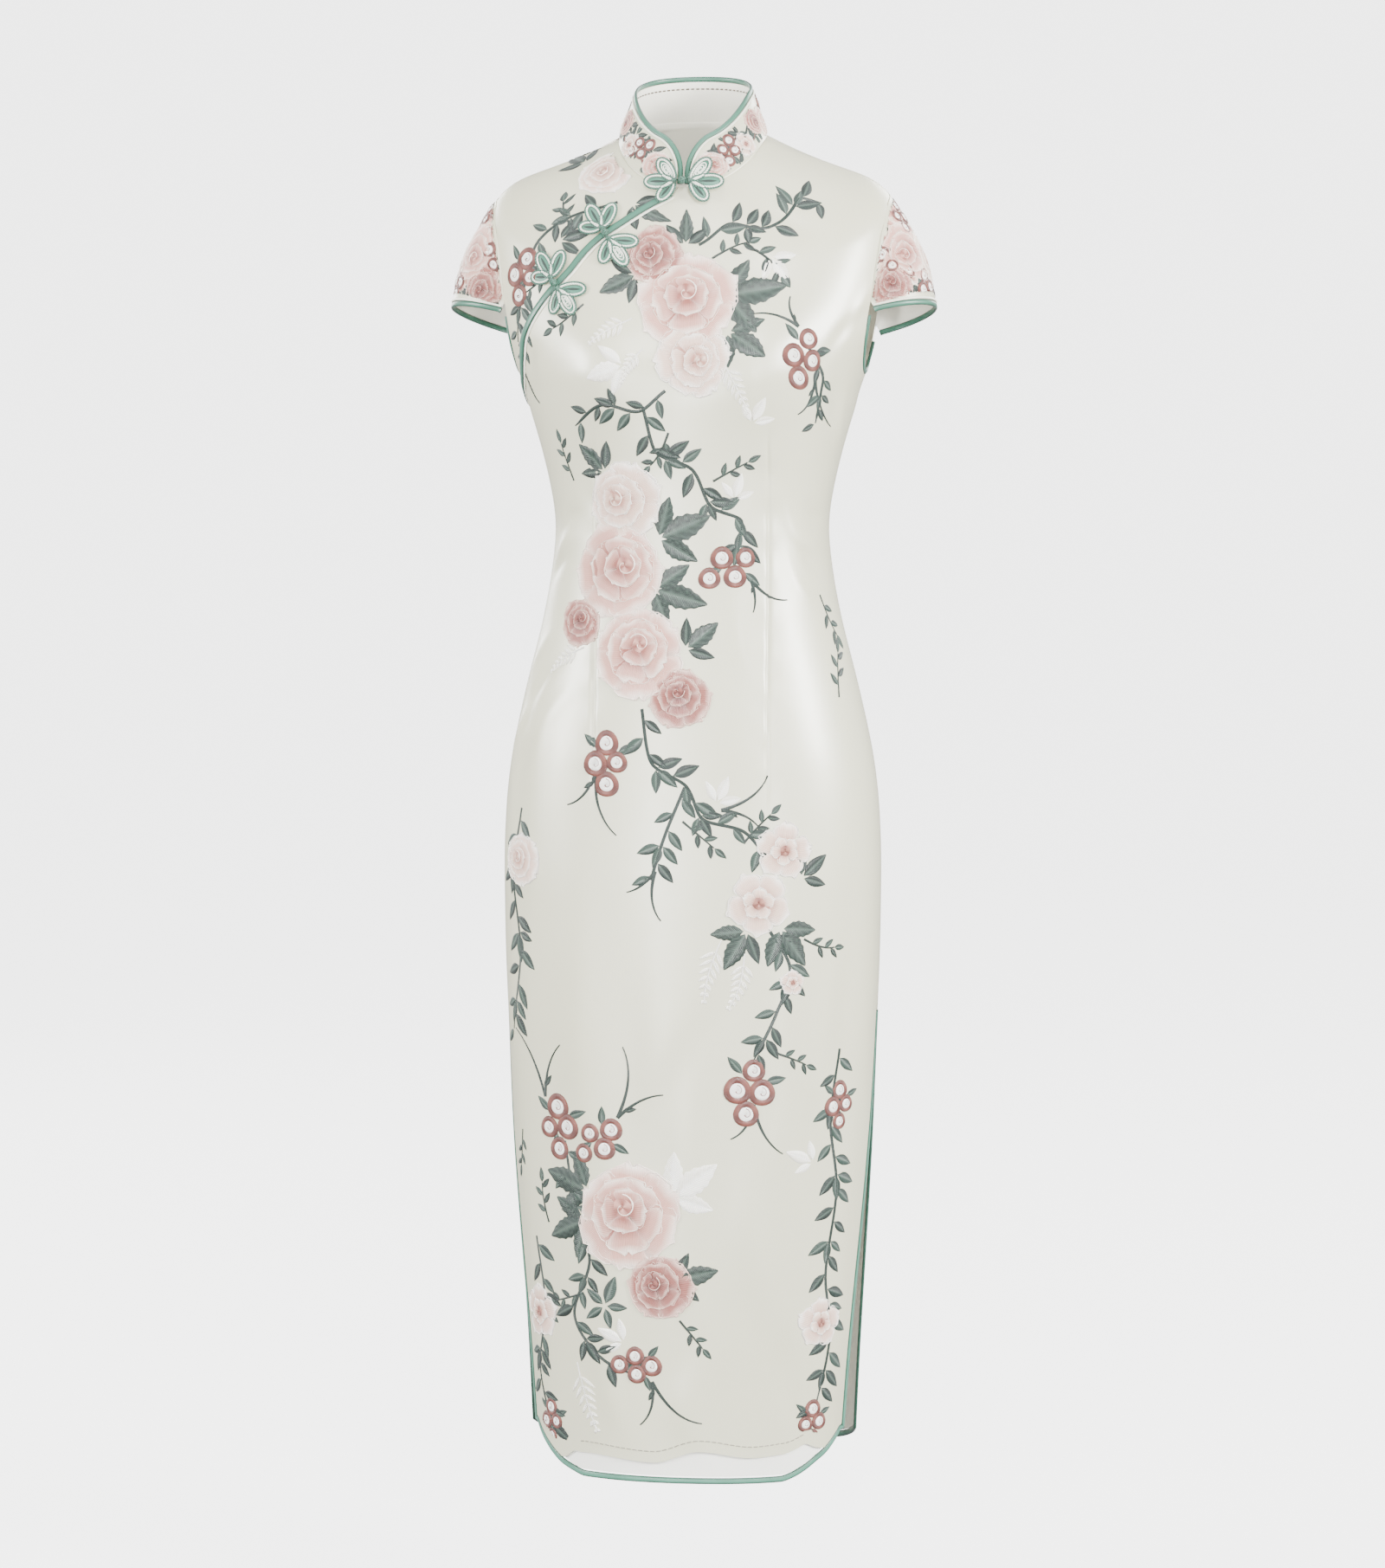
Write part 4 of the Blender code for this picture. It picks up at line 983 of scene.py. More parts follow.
def make_slit_bindings():
    angle, level = bound_edge(front_span, front_hem, FRONT_HEM_COLUMNS)
    in_band = np.minimum(angle - SATIN_HEM[0].angle, SATIN_HEM[-1].angle - angle) / BAND_FADE
    depth = CLOTH / 2 + smooth_step(in_band) * (LAYER_GAP + CLOTH / 2 + BAND_CLOTH / 2)
    back_edge = bound_edge(back_span, back_hem, BACK_HEM_COLUMNS)
    edges = {"front": (angle, level, depth), "back": (*back_edge, CLOTH / 2)}
    for panel, (angle, level, depth) in edges.items():
        name, node = f"{panel}_slit_and_hem_binding", f"{panel}_binding"
        edge = (*cloth_spot(angle, level), HEM_BINDING_WIDTH, depth)
        make_binding(name, node, *edge, material=HEM_BINDING)


def make_opening_binding():
    """The strip on the slanting edge, and the white piping along its lower side."""
    level = np.linspace(NECK - 6, OPENING_END + 2, 120)
    points, outs = cloth_spot(read(OPENING, "angle", level), level)
    lift = OPENING_BINDING_LIFT + OPENING_BINDING_THICKNESS / 2
    centres = edge_stations(points, outs, 0.0, -lift)
    sizes = (OPENING_BINDING_WIDTH, OPENING_BINDING_THICKNESS)
    profile = round_profile(*sizes, STRIP_SIDES, OPENING_SQUARENESS)
    node = "opening_binding"
    make_tube(f"{node}_strip", centres, outs, profile, BINDING, (node,))
    beside = OPENING_BINDING_WIDTH / 2 + 1.1
    make_piping("opening_white_piping", points, outs, beside, 0.5, round_profile(2.6, 1.4, 10))


# ---------------------------------------------------------------- armholes and sleeves
def armhole_line(front_level, back_level, through, steps=70):
    """Round the armhole from the front to the back: (angle, level)."""
    shares = np.arange(steps + 1) / steps
    fronts = front_level + (through - front_level) * shares[:-1] ** 0.7
    backs = through + (back_level - through) * shares**1.4
    in_front = read(ARMHOLE, "front_angle", fronts)
    behind = 180 - read(ARMHOLE, "back_angle", backs)
    return np.concatenate([in_front, behind]), np.concatenate([fronts, backs])


def resampled(points, outs, count):
    """count + 1 spots evenly spaced along a line."""
    along = distances_along(points)
    wanted = np.linspace(0.0, along[-1], count + 1)
    return between(wanted, along, points), unit(between(wanted, along, outs))


def seam_of_sleeve(count):
    """The sleeve head, a seam's gap outside the armhole."""
    line = armhole_line(SLEEVE_FRONT_END, SLEEVE_BACK_END, SHOULDER_TIP)
    points, outs = resampled(body_place(*line), body_normal(*line), count)
    return edge_stations(points, outs, SEAM_GAP, 0.0), outs


HEAD_POINTS, HEAD_OUTS = seam_of_sleeve(HEAD_STATIONS)


def sleeve_place(round_share, down_share):
    """Points of the left sleeve: round_share runs to the back, down_share from head to hem."""
    round_share, down_share = np.broadcast_arrays(round_share, down_share)
    marks = np.linspace(0.0, 1.0, len(HEAD_POINTS))
    held = np.clip(round_share, 0.0, 1.0)
    head = between(held, marks, HEAD_POINTS)
    front_end, back_end = (HEAD_POINTS[end] + SLEEVE_END_DROP for end in (0, -1))
    middle = (front_end + back_end) / 2
    turn = np.radians(-90 + 180 * held)[..., None]
    end = np.where(turn > 0, back_end, front_end)
    hem = middle + (SLEEVE_HEM_OUTER - middle) * np.cos(turn)
    hem = hem + (end - middle) * np.abs(np.sin(turn))
    fullness = 4 * down_share * (1 - down_share) * np.maximum(np.sin(math.pi * held), 0.0) ** 0.5
    push = stacked(1.0, SLEEVE_FLARE * np.sin(turn[..., 0]), SLEEVE_PUFF_UP)
    share = down_share[..., None]
    puckers = HEAD_PUCKER * np.sin(HEAD_PUCKERS * held)
    puckers = puckers * np.exp(-((down_share / HEAD_PUCKER_DEPTH) ** 2)) * np.sin(math.pi * held)
    fullness = (SLEEVE_FULLNESS * fullness + puckers)[..., None]
    return head * (1 - share) + hem * share + push * fullness


def sleeve_spot(round_share, down_share):
    """The same points, with directions that turn from the head's own to the sleeve's below it."""
    round_share, down_share = alike(round_share, down_share)
    before, after = (np.clip(round_share + step, 0.0, 1.0) for step in (-0.012, 0.012))
    near = np.clip(down_share, 0.1, 1.0)
    across = sleeve_place(after, near) - sleeve_place(before, near)
    lower, higher = np.minimum(down_share + 0.1, 1.0), np.maximum(down_share - 0.1, 0.0)
    down = sleeve_place(round_share, lower) - sleeve_place(round_share, higher)
    own = unit(np.cross(down, across))
    head = between(round_share, np.linspace(0.0, 1.0, len(HEAD_OUTS)), HEAD_OUTS)
    blend = smooth_step(down_share / 0.35)[..., None]
    return sleeve_place(round_share, down_share), unit(head * (1 - blend) + own * blend)


def mirrored(vectors, side):
    return vectors * np.array([side, 1.0, 1.0])


def make_sleeves():
    """Rows run from the hem up to the head, as in every shell."""
    made = []
    round_share = np.linspace(0.0, 1.0, 91)[None, :]
    down_share = np.linspace(1.0, 0.0, 25)[:, None]
    points, outs = sleeve_spot(round_share, down_share)
    uv = stacked(round_share * 190, (1 - down_share) * 60)
    for name, side in SIDES.items():
        at, out = mirrored(points, side), mirrored(outs, side)
        if side < 0:
            at, out = at[:, ::-1], out[:, ::-1]
        cloth = Gathered()
        add_shell(cloth, at, out, uv, SHELL)
        node = f"sleeve_{name}"
        made.append(make_piece(f"{node}_satin", cloth, [SATIN, LINING], (node,)))
        hem = (at[0], out[0])
        bound = f"sleeve_binding_{name}"
        make_binding(f"{node}_hem_binding", bound, *hem, SLEEVE_BINDING_WIDTH, CLOTH / 2)
        make_piping(f"{node}_white_piping", *hem, 1.0, 0.5, round_profile(2.0, 1.4, 8))
    return made


def make_armhole_bindings():
    line = armhole_line(ARMHOLE_BINDING_FRONT, ARMHOLE_BINDING_BACK, UNDERARM)
    points, outs = resampled(body_place(*line), body_normal(*line), ARMHOLE_STATIONS)
    for name, side in SIDES.items():
        at, out = mirrored(points, side), mirrored(outs, side)
        if side > 0:
            at, out = at[::-1], out[::-1]
        node = f"armhole_binding_{name}"
        edge = (at, out, ARMHOLE_BINDING_WIDTH, CLOTH / 2, ARMHOLE_GAP)
        make_binding(f"{node}_strip", node, *edge)


# ---------------------------------------------------------------- collar
def collar_rise(angle):
    away = np.abs(signed_angle(angle))
    corner = COLLAR_CORNER_ANGLE - COLLAR_FRONT_ANGLE
    share = np.clip((away - COLLAR_FRONT_ANGLE) / corner, 0.0, 1.0)
    return COLLAR_FRONT_RISE + (COLLAR_RISE - COLLAR_FRONT_RISE) * np.sqrt(1 - (1 - share) ** 2)


def collar_place(angle, height):
    angle, height = alike(angle, height)
    foot, out = body_place(angle, NECK), body_normal(angle, NECK)
    flat_out = unit(out * np.array([1.0, 1.0, 0.0]))
    foot = foot + out * COLLAR_LIFT + flat_out * (COLLAR_CLOTH / 2)
    foot = foot + np.array([0.0, 0.0, COLLAR_STEP_UP])
    top = foot * np.array([COLLAR_TOP_SCALE, COLLAR_TOP_SCALE, 1.0])
    back_shift = COLLAR_MIDDLE_Y * (1 - COLLAR_TOP_SCALE) + COLLAR_TOP_LEAN
    top = top + np.array([0.0, back_shift, COLLAR_RISE])
    share = (height / COLLAR_RISE)[..., None]
    return foot * (1 - share) + top * share


def collar_spot(angle, height):
    angle, height = alike(angle, height)
    return collar_place(angle, height), surface_normal(collar_place, angle, height, 1.0, 1.0)


def make_collar():
    width = COLLAR_CORNER_ANGLE - COLLAR_FRONT_ANGLE
    near = COLLAR_FRONT_ANGLE + width * np.linspace(0, 1, 26, endpoint=False) ** 1.6
    half = np.concatenate([near, np.linspace(COLLAR_CORNER_ANGLE, 180, 70, endpoint=False)])
    angle = np.concatenate([half, [180.0], 360 - half[::-1]])
    shares = np.linspace(0.0, 1.0, 15)[:, None]
    height = collar_rise(angle)[None, :] * shares
    points, outs = collar_spot(np.broadcast_to(angle, height.shape), height)
    uv = stacked(angle[None, :], height)
    cloth = Gathered()
    add_shell(cloth, points, outs, uv, COLLAR_CLOTH - 0.3)
    made = make_piece("collar_satin", cloth, [SATIN, LINING], ("collar",))
    ends = np.array(COLLAR_BINDING_FEET)
    upright = collar_spot(np.full(2, COLLAR_FRONT_ANGLE), ends)
    other = collar_spot(np.full(2, 360 - COLLAR_FRONT_ANGLE), ends[::-1])
    at = np.concatenate([upright[0], points[-1], other[0]])[::-1]
    out = np.concatenate([upright[1], outs[-1], other[1]])[::-1]
    node = "collar_binding"
    make_binding(f"{node}_strip", node, at, out, COLLAR_BINDING_WIDTH, COLLAR_CLOTH / 2)
    make_piping("collar_white_piping", at, out, 0.9, 0.4, round_profile(1.8, 1.2, 8))
    make_neck_tape()
    return made


def make_neck_tape():
    """The narrow tape inside, over the seam between the collar and the neck edge."""
    angle = np.linspace(COLLAR_FRONT_ANGLE + 1, 360 - COLLAR_FRONT_ANGLE - 1, 120)
    foot, outs = collar_spot(angle, np.zeros(120))
    centres, profile = foot - outs * TAPE_DEPTH, round_profile(TAPE_WIDTH, TAPE_THICKNESS, 10, 3.0)
    make_tube("neck_seam_tape", centres, outs, profile, LINING, ())


# ---------------------------------------------------------------- frog buttons
def chest_place(frog):
    """A function that puts (right, up, height) in millimetres on the chest round the frog."""
    centre, out = body_place(frog.angle, frog.level), body_normal(frog.angle, frog.level)
    sideways = unit(np.cross(out, np.array([0.0, 0.0, 1.0])))
    sideways = sideways if sideways[0] > 0 else -sideways
    upwards = unit(np.cross(out, sideways))
    upwards = upwards if upwards[2] > 0 else -upwards

    def place(right, up, height):
        """Newton's steps towards the angle and level whose point lies there."""
        angle = np.full(np.shape(right), float(frog.angle))
        level = np.full(np.shape(right), float(frog.level))
        for _ in range(5):
            here = body_place(angle, level)
            miss_right = right - (here - centre) @ sideways
            miss_up = up - (here - centre) @ upwards
            by_angle = body_place(angle + 0.5, level) - here
            by_level = body_place(angle, level + 0.5) - here
            a, b = by_angle @ sideways, by_level @ sideways
            c, d = by_angle @ upwards, by_level @ upwards
            det = a * d - b * c
            angle = angle + 0.5 * (miss_right * d - miss_up * b) / det
            level = level + 0.5 * (miss_up * a - miss_right * c) / det
        point, out_there = body_place(angle, level), body_normal(angle, level)
        return point + out_there * np.reshape(height, np.shape(right) + (1,)), out_there

    return place


def neck_place(right, up, height):
    """The same for the neck frog, which leans back with the collar above its knot, less below."""
    lean = np.where(up > 0, NECK_FROG_LEAN_ABOVE, NECK_FROG_LEAN_BELOW)
    around = right / NECK_FROG_ROUND
    out = unit(stacked(np.sin(around), -np.cos(around), NECK_FROG_LEAN_BELOW))
    forward = NECK_FROG_ROUND * (np.cos(around) - 1)
    foot = stacked(NECK_FROG_ROUND * np.sin(around), lean * up - forward, up + 0.0 * right)
    return NECK_FROG_CENTRE + foot + out * np.reshape(height, np.shape(right) + (1,)), out


Half = namedtuple("Half", "place side turn")


def on_loop(half, loop, along, aside, height):
    """Spots along a loop's middle line and beside it, on half a frog turned on the cloth."""
    heading, tilt = math.radians(loop.heading), math.radians(half.turn)
    right = half.side * (ROOT_DISTANCE + along * math.cos(heading) - aside * math.sin(heading))
    up = along * math.sin(heading) + aside * math.cos(heading)
    arch = (FROG_ARCH + LOOP_ARCH) * np.exp(-np.maximum(along, 0.0) / LOOP_ARCH_LENGTH)
    flat_right = right * math.cos(tilt) - up * math.sin(tilt)
    flat_up = right * math.sin(tilt) + up * math.cos(tilt)
    return half.place(flat_right, flat_up, height + arch)


def round_loop(half, loop, share, inset, height, radius=1.0):
    """Spots round an egg-shaped loop. inset moves them inwards, radius shrinks it to its middle."""
    angle = math.tau * share
    middle = LOOP_ROOT + loop.length / 2
    along = middle - (loop.length / 2 - inset) * np.cos(angle) * radius
    egg = LOOP_WIDTH_SHARE - LOOP_EGG * np.cos(angle)
    aside = (loop.width / 2 * egg - inset) * np.sin(angle) * radius
    return on_loop(half, loop, along, aside, height)


FINE_CORD = 0.86
MINT_INSET, WHITE_INSET, PAD_INSET = -0.75, 0.85, 1.7
SLIT_ENDS = (-0.66, 0.62)
SLIT_STATIONS = 24
COIL_TURNS, COIL_STATIONS = 2.6, 110
KNOT_STATIONS, CORE_STATIONS = 150, 12
CORD_BASE = CORD_RADIUS + CORD_CLEARANCE - 0.5
CORD_RING = round_profile(2 * FINE_CORD, 2 * FINE_CORD, 9)
MINT_KIND, WHITE_KIND, PAD_KIND, SLIT_KIND = 0, 1, 2, 3
FROG_MATERIALS = [MINT_CORD, WHITE_CORD, MINT_PAD, PAINTED_SHADE_SLIT]


def add_loop(gathered, half, loop, coiled):
    """A mint and a white cord side by side round the loop, and a padded or coiled inside; a padded
    loop also gets a dark strip of painted shade where its opening lies.
    """
    share = np.linspace(0.0, 1.0, 56, endpoint=False)
    for kind, inset in ((MINT_KIND, MINT_INSET), (WHITE_KIND, WHITE_INSET)):
        centres, outs = round_loop(half, loop, share, inset, CORD_BASE)
        gathered.tube(centres, outs, CORD_RING, kind, closed=True)
    rings = np.linspace(0.04, 1.0, 9)[:, None]
    turns = np.linspace(0.0, 1.0, 41)[None, :]
    dome = CORD_BASE - 0.9 + 1.0 * (1 - rings**2) + 0.0 * turns
    points = round_loop(half, loop, turns + 0.0 * rings, PAD_INSET, dome, rings)[0]
    gathered.grid(points, stacked(rings * 8, turns * 20), PAD_KIND, flipped=half.side < 0)
    if coiled:
        way = np.linspace(0.0, COIL_TURNS, COIL_STATIONS)
        radius = np.linspace(0.80, 0.14, COIL_STATIONS)
        centres, outs = round_loop(half, loop, way, PAD_INSET, CORD_BASE + 0.35, radius)
        gathered.tube(centres, outs, CORD_RING * 0.7, WHITE_KIND)
    else:
        # Painted shade: a dark strip along the loop's middle, where its opening lies
        way = np.linspace(*SLIT_ENDS, SLIT_STATIONS)
        along = LOOP_ROOT + loop.length / 2 * (1 + way)
        centres, outs = on_loop(half, loop, along, 0.0, CORD_BASE + 0.15)
        width = 2.3 * np.sin(math.pi * np.linspace(0.03, 0.97, SLIT_STATIONS) ** 1.3)
        profile = round_profile(1.0, 1.0, 8)[None] * stacked(width, 0.5)[:, None]
        gathered.tube(centres, outs, profile, SLIT_KIND)


def add_button_knot(gathered, place, right, up, height, radius, cord):
    """A round knot: one cord wound three times over and under round a small core."""
    centre, out = place(np.array([right]), np.array([up]), np.array([height]))
    centre, out = centre[0], out[0]
    beside = unit(np.cross(out, np.array([0.3, 0.2, 1.0])))
    across = np.cross(out, beside)
    way = math.tau * np.linspace(0.0, 1.0, KNOT_STATIONS, endpoint=False)
    polar = math.pi / 2 + 1.05 * np.sin(3 * way)
    flat = np.cos(2 * way)[:, None] * beside + np.sin(2 * way)[:, None] * across
    facing = np.sin(polar)[:, None] * flat + np.cos(polar)[:, None] * out
    over = radius - cord + 0.28 * np.cos(5 * way)
    profile = round_profile(2 * cord, 2 * cord, 9)
    gathered.tube(centre + facing * over[:, None], facing, profile, closed=True)
    heights = np.linspace(-0.98, 0.98, CORE_STATIONS)
    centres = centre + out * (heights * (radius - cord))[:, None]
    widths = 2 * (radius - cord) * np.sqrt(1 - heights**2)
    ring = round_profile(1.0, 1.0, 16)[None] * widths[:, None, None]
    gathered.tube(centres, np.broadcast_to(beside, (CORE_STATIONS, 3)), ring, PAD_KIND)


def make_frog(name, place, turn, halves, coils):
    """Two halves of three loops, and the button knot between them. coils lists the coiled loops."""
    for (half, side), coil in zip(halves.items(), coils):
        gathered = Gathered()
        for number, loop in enumerate(SCROLL_LOOPS):
            add_loop(gathered, Half(place, side, turn), loop, number in coil)
        tilt = math.radians(turn)
        right, up = (side * ROOT_DISTANCE * way(tilt) for way in (math.cos, math.sin))
        height = ROOT_RADIUS + CORD_CLEARANCE + FROG_ARCH
        add_button_knot(gathered, place, right, up, height, ROOT_RADIUS + 0.3, 0.75)
        node = f"{name}_{half}"
        make_piece(f"{node}_cords", gathered, FROG_MATERIALS, (node,))
    knot = Gathered()
    height = KNOT_RADIUS + CORD_CLEARANCE + FROG_ARCH
    add_button_knot(knot, place, 0.0, 0.0, height, KNOT_RADIUS + 0.2, 1.05)
    make_piece(f"{name}_button_knot", knot, FROG_MATERIALS, (f"{name}_knot",))


def make_frogs():
    make_frog("neck_frog", neck_place, 0.0, {"left_scroll": 1, "right_scroll": -1}, [{0}, {0}])
    for frog in CHEST_FROGS:
        halves = {"lower_scroll": 1, "upper_scroll": -1}
        make_frog(frog.name, chest_place(frog), frog.turn, halves, [{1}, set()])


# ---------------------------------------------------------------- embroidery
# Every petal, leaf and stem is worked out by formula as a small raised patch. The tables say where
# each kind of motif is sewn: across from the middle of the dress and on which level, its size, and
# the way it points, in degrees clockwise from upwards.
RELIEF = 0.6
SUNK = 0.25
RIM_SLOPE = 0.5
# Painted shade: every patch's sunk rim and every stem's edges are multiplied by this, for the shade
# where thread goes down into the cloth and between overlapping petals
PAINTED_RIM_SHADE = np.array([0.5, 0.46, 0.44, 1.0])
STITCH_SLANT = 0.8
EDGE_WIDTH = 2.0
TOOTHED_LEAF = 30
DARK_GREENS = ["mid", "dark"]
MIDDLE = (0.0, 0.0)

Patch = namedtuple("Patch", "flat relief uv colours")
Tones = namedtuple("Tones", "base middle rim")
Motif = namedtuple("Motif", "kind across level size turn")
Vine = namedtuple("Vine", "leaf spacing points")
Ring = namedtuple("Ring", "start reach count width")

PETAL_TONES = {
    "pink": Tones(linear(146, 84, 74), linear(208, 156, 140), linear(252, 240, 228)),
    "rosy": Tones(linear(96, 46, 42), linear(150, 90, 80), linear(230, 200, 186)),
    "pale": Tones(linear(174, 122, 106), linear(226, 196, 178), linear(255, 251, 242)),
}
GREENS = {
    "dark": Tones(linear(16, 28, 24), linear(29, 43, 38), linear(78, 96, 85)),
    "mid": Tones(linear(25, 39, 34), linear(45, 63, 55), linear(100, 118, 106)),
    "white": Tones(linear(224, 220, 206), linear(252, 250, 240), linear(255, 255, 250)),
}
STEM_GREEN = linear(28, 44, 38)
RING_ROSE = linear(122, 70, 60)
RING_DEEP = linear(86, 44, 38)
FERN_WHITE = linear(253, 252, 246)
HEM_STITCH = linear(150, 148, 132)
COLLAR_STITCH = linear(110, 96, 74)

PEONY_RINGS = [
    Ring(start=0.14, reach=1.00, count=6, width=0.50),
    Ring(start=0.10, reach=0.70, count=5, width=0.40),
    Ring(start=0.04, reach=0.42, count=4, width=0.28),
]
DEEPER_INWARDS = Tones(0.0, 0.14, 0.05)


def turned(flat, degrees, shift=MIDDLE):
    sine, cosine = math.sin(math.radians(degrees)), math.cos(math.radians(degrees))
    x, y = flat[..., 0], flat[..., 1]
    return np.stack([x * cosine + y * sine + shift[0], y * cosine - x * sine + shift[1]], axis=-1)


def ahead(degrees, distance, start=MIDDLE):
    """The flat place that lies so far off in that direction."""
    return turned(np.array([0.0, distance]), degrees, start)


def blended(first, second, share):
    share = np.asarray(share, float)[..., None]
    return np.asarray(first) * (1 - share) + np.asarray(second) * share


class Needlework:
    """Raised patches laid on one surface, gathered into one piece."""

    def __init__(self, spot, inside, first_step, second_step):
        self.spot, self.inside = spot, inside
        self.first_step, self.second_step = first_step, second_step
        self.patches = []

    def frames_at(self, first, second):
        """Matrices that turn millimetres right and up into steps of the surface's two ways."""
        here, out = self.spot(first, second)
        by_first = (self.spot(first + self.first_step, second)[0] - here) / self.first_step
        by_second = (self.spot(first, second + self.second_step)[0] - here) / self.second_step
        right = unit(by_first)
        up = unit(np.cross(out, right))
        rows = [[(by_first * way).sum(-1), (by_second * way).sum(-1)] for way in (right, up)]
        return np.linalg.inv(np.moveaxis(np.array(rows), (0, 1), (-2, -1)))

    def lay(self, first, second, relief, uv, colours):
        self.patches.append((first, second, relief, uv, colours))

    def hoops(self, places):
        """A hoop at each place."""
        first, second = np.array(places, float).T
        matrices = self.frames_at(first, second)
        return [Hoop(self, *place) for place in zip(first, second, matrices)]

    def sewn(self):
        """Every patch put on the surface at once. Faces beyond the cloth's edges are left out."""
        first, second, relief = (
            np.concatenate([patch[i].ravel() for patch in self.patches]) for i in range(3)
        )
        uv = np.concatenate([p[3].reshape(-1, 2) for p in self.patches])
        colours = np.concatenate([p[4].reshape(-1, 4) for p in self.patches])
        points, outs = self.spot(first, second)
        inside = self.inside(first, second)
        quads, count = [], 0
        for patch in self.patches:
            quads.append(quads_of(count + np.arange(patch[0].size).reshape(patch[0].shape)))
            count += patch[0].size
        quads = np.concatenate(quads)
        quads = quads[inside[quads].all(axis=1)]
        used, renumbered = np.unique(quads, return_inverse=True)
        gathered = Gathered()
        raised = points[used] + outs[used] * relief[used, None]
        corners = uv[quads].reshape(-1, 2)
        gathered.add(raised, renumbered.reshape(-1, 4).tolist(), corners, colour=colours[used])
        return gathered


class Hoop:
    """A place on the cloth round which motifs are drawn flat, in millimetres right and up."""

    def __init__(self, work, first, second, matrix):
        self.work, self.first, self.second, self.matrix = work, first, second, matrix

    def sew(self, patch, degrees=0.0, shift=MIDDLE, lift=0.0):
        """Lays the patch with a short slope down to the cloth round its rim, coloured darker there
        as painted shade.
        """
        sides = ((1, 1), (1, 1), (0, 0))
        relief = np.pad(patch.relief, 1, constant_values=-SUNK)
        colours = np.pad(patch.colours, sides, "edge")
        for edge in (np.s_[0], np.s_[-1], np.s_[:, 0], np.s_[:, -1]):
            colours[edge] = colours[edge] * PAINTED_RIM_SHADE
        uv = np.pad(patch.uv, sides, "edge")
        self.lay(Patch(sloped(patch.flat), relief, uv, colours), degrees, shift, lift)

    def lay(self, patch, degrees=0.0, shift=MIDDLE, lift=0.0):
        """Lays the patch as it is. Its sunk rim stays in the cloth, however high its lift."""
        moved = turned(patch.flat, degrees, shift) @ self.matrix.T
        relief = np.where(patch.relief <= -SUNK, -SUNK, patch.relief + lift)
        first, second = self.first + moved[..., 0], self.second + moved[..., 1]
        self.work.lay(first, second, relief, patch.uv, patch.colours)


def sloped(flat):
    """The flat places with one more row or column on every side, a little further out."""
    for axis in (0, 1):
        flat = np.moveaxis(flat, axis, 0)
        low, high = unit(flat[0] - flat[1]), unit(flat[-1] - flat[-2])
        before, after = flat[:1] + low[None] * RIM_SLOPE, flat[-1:] + high[None] * RIM_SLOPE
        flat = np.concatenate([before, flat, after])
        flat = np.moveaxis(flat, 0, axis)
    return flat


def grid_shares(rows, columns):
    return np.linspace(0.03, 0.985, rows)[:, None], np.linspace(-1.0, 1.0, columns)[None, :]


def petal_patch(length, half_width, tones, phase):
    """A broad petal that points up: narrow at its root, waved and a little notched at its rim."""
    along, across = grid_shares(8, 7)
    half = half_width * np.sin(math.pi * along**1.8) ** 0.55
    right = half * across
    notch = 0.09 * length * along**3 * np.exp(-((across / 0.35) ** 2))
    wave = 0.05 * length * np.sin(4 * across + phase) * along**2
    up = length * along * (1 - 0.1 * across**2 * along) + wave - notch
    relief = RELIEF * (1 - across**4) * np.minimum(np.minimum(along * 5, (1 - along) * 6), 1.0)
    rim = np.maximum(smooth_step((along - 0.7) / 0.3), across**4 * along)
    # Darker towards the root: rosier thread there, and painted shade where the petal lies under the
    # petals sewn over it
    body = blended(tones.base, tones.middle, smooth_step((along - 0.25) / 0.4))
    colours = blended(body, tones.rim, rim)
    return Patch(stacked(right, up), relief, stacked(right, up), colours)


def sew_petal(hoop, patch, degrees, shift, lift, tones):
    """The petal, then a thin raised row of pale stitches along its rim."""
    hoop.sew(patch, degrees, shift, lift)
    flat = patch.flat
    rim = np.concatenate([flat[4:-1, 0], flat[-1], flat[-2:3:-1, -1]])
    hoop.lay(line_patch(rim, np.full(len(rim), EDGE_WIDTH), tones.rim), degrees, shift, lift + 0.2)


def leaf_patch(length, half_width, tones, teeth=0.0):
    """A pointed leaf in two halves, the left one darker, with a sunk vein between them."""
    along, across = grid_shares(21 if teeth else 7, 7)
    half = half_width * np.sin(math.pi * along**0.78) ** 0.9
    half = half * (1 + teeth * np.sin(11 * math.pi * along))
    right = half * across
    up = length * along + 0.06 * length * np.abs(across) * (1 - along)
    beside = np.abs(across)
    ends = np.minimum(np.minimum(along, 1 - along) * 8, 1.0)
    relief = RELIEF * np.sin(math.pi * beside**0.8) * ends
    halves = blended(tones.base, tones.middle, np.where(across > 0, 1.0, 0.25) + 0.0 * along)
    if teeth:
        veins = (0.5 + 0.5 * np.cos(math.tau * (5 * along - 1.2 * beside))) ** 2
        relief = relief * (0.7 + 0.5 * veins)
        halves = blended(halves, tones.rim, 0.42 * veins)
    colours = blended(halves, tones.rim, np.where(beside < 0.1, 0.8, 0.0) + 0.0 * along)
    slant = stacked(up * STITCH_SLANT - np.abs(right) * (1 - STITCH_SLANT) * 3, up + 0.0 * right)
    return Patch(stacked(right, up), relief, slant, colours)


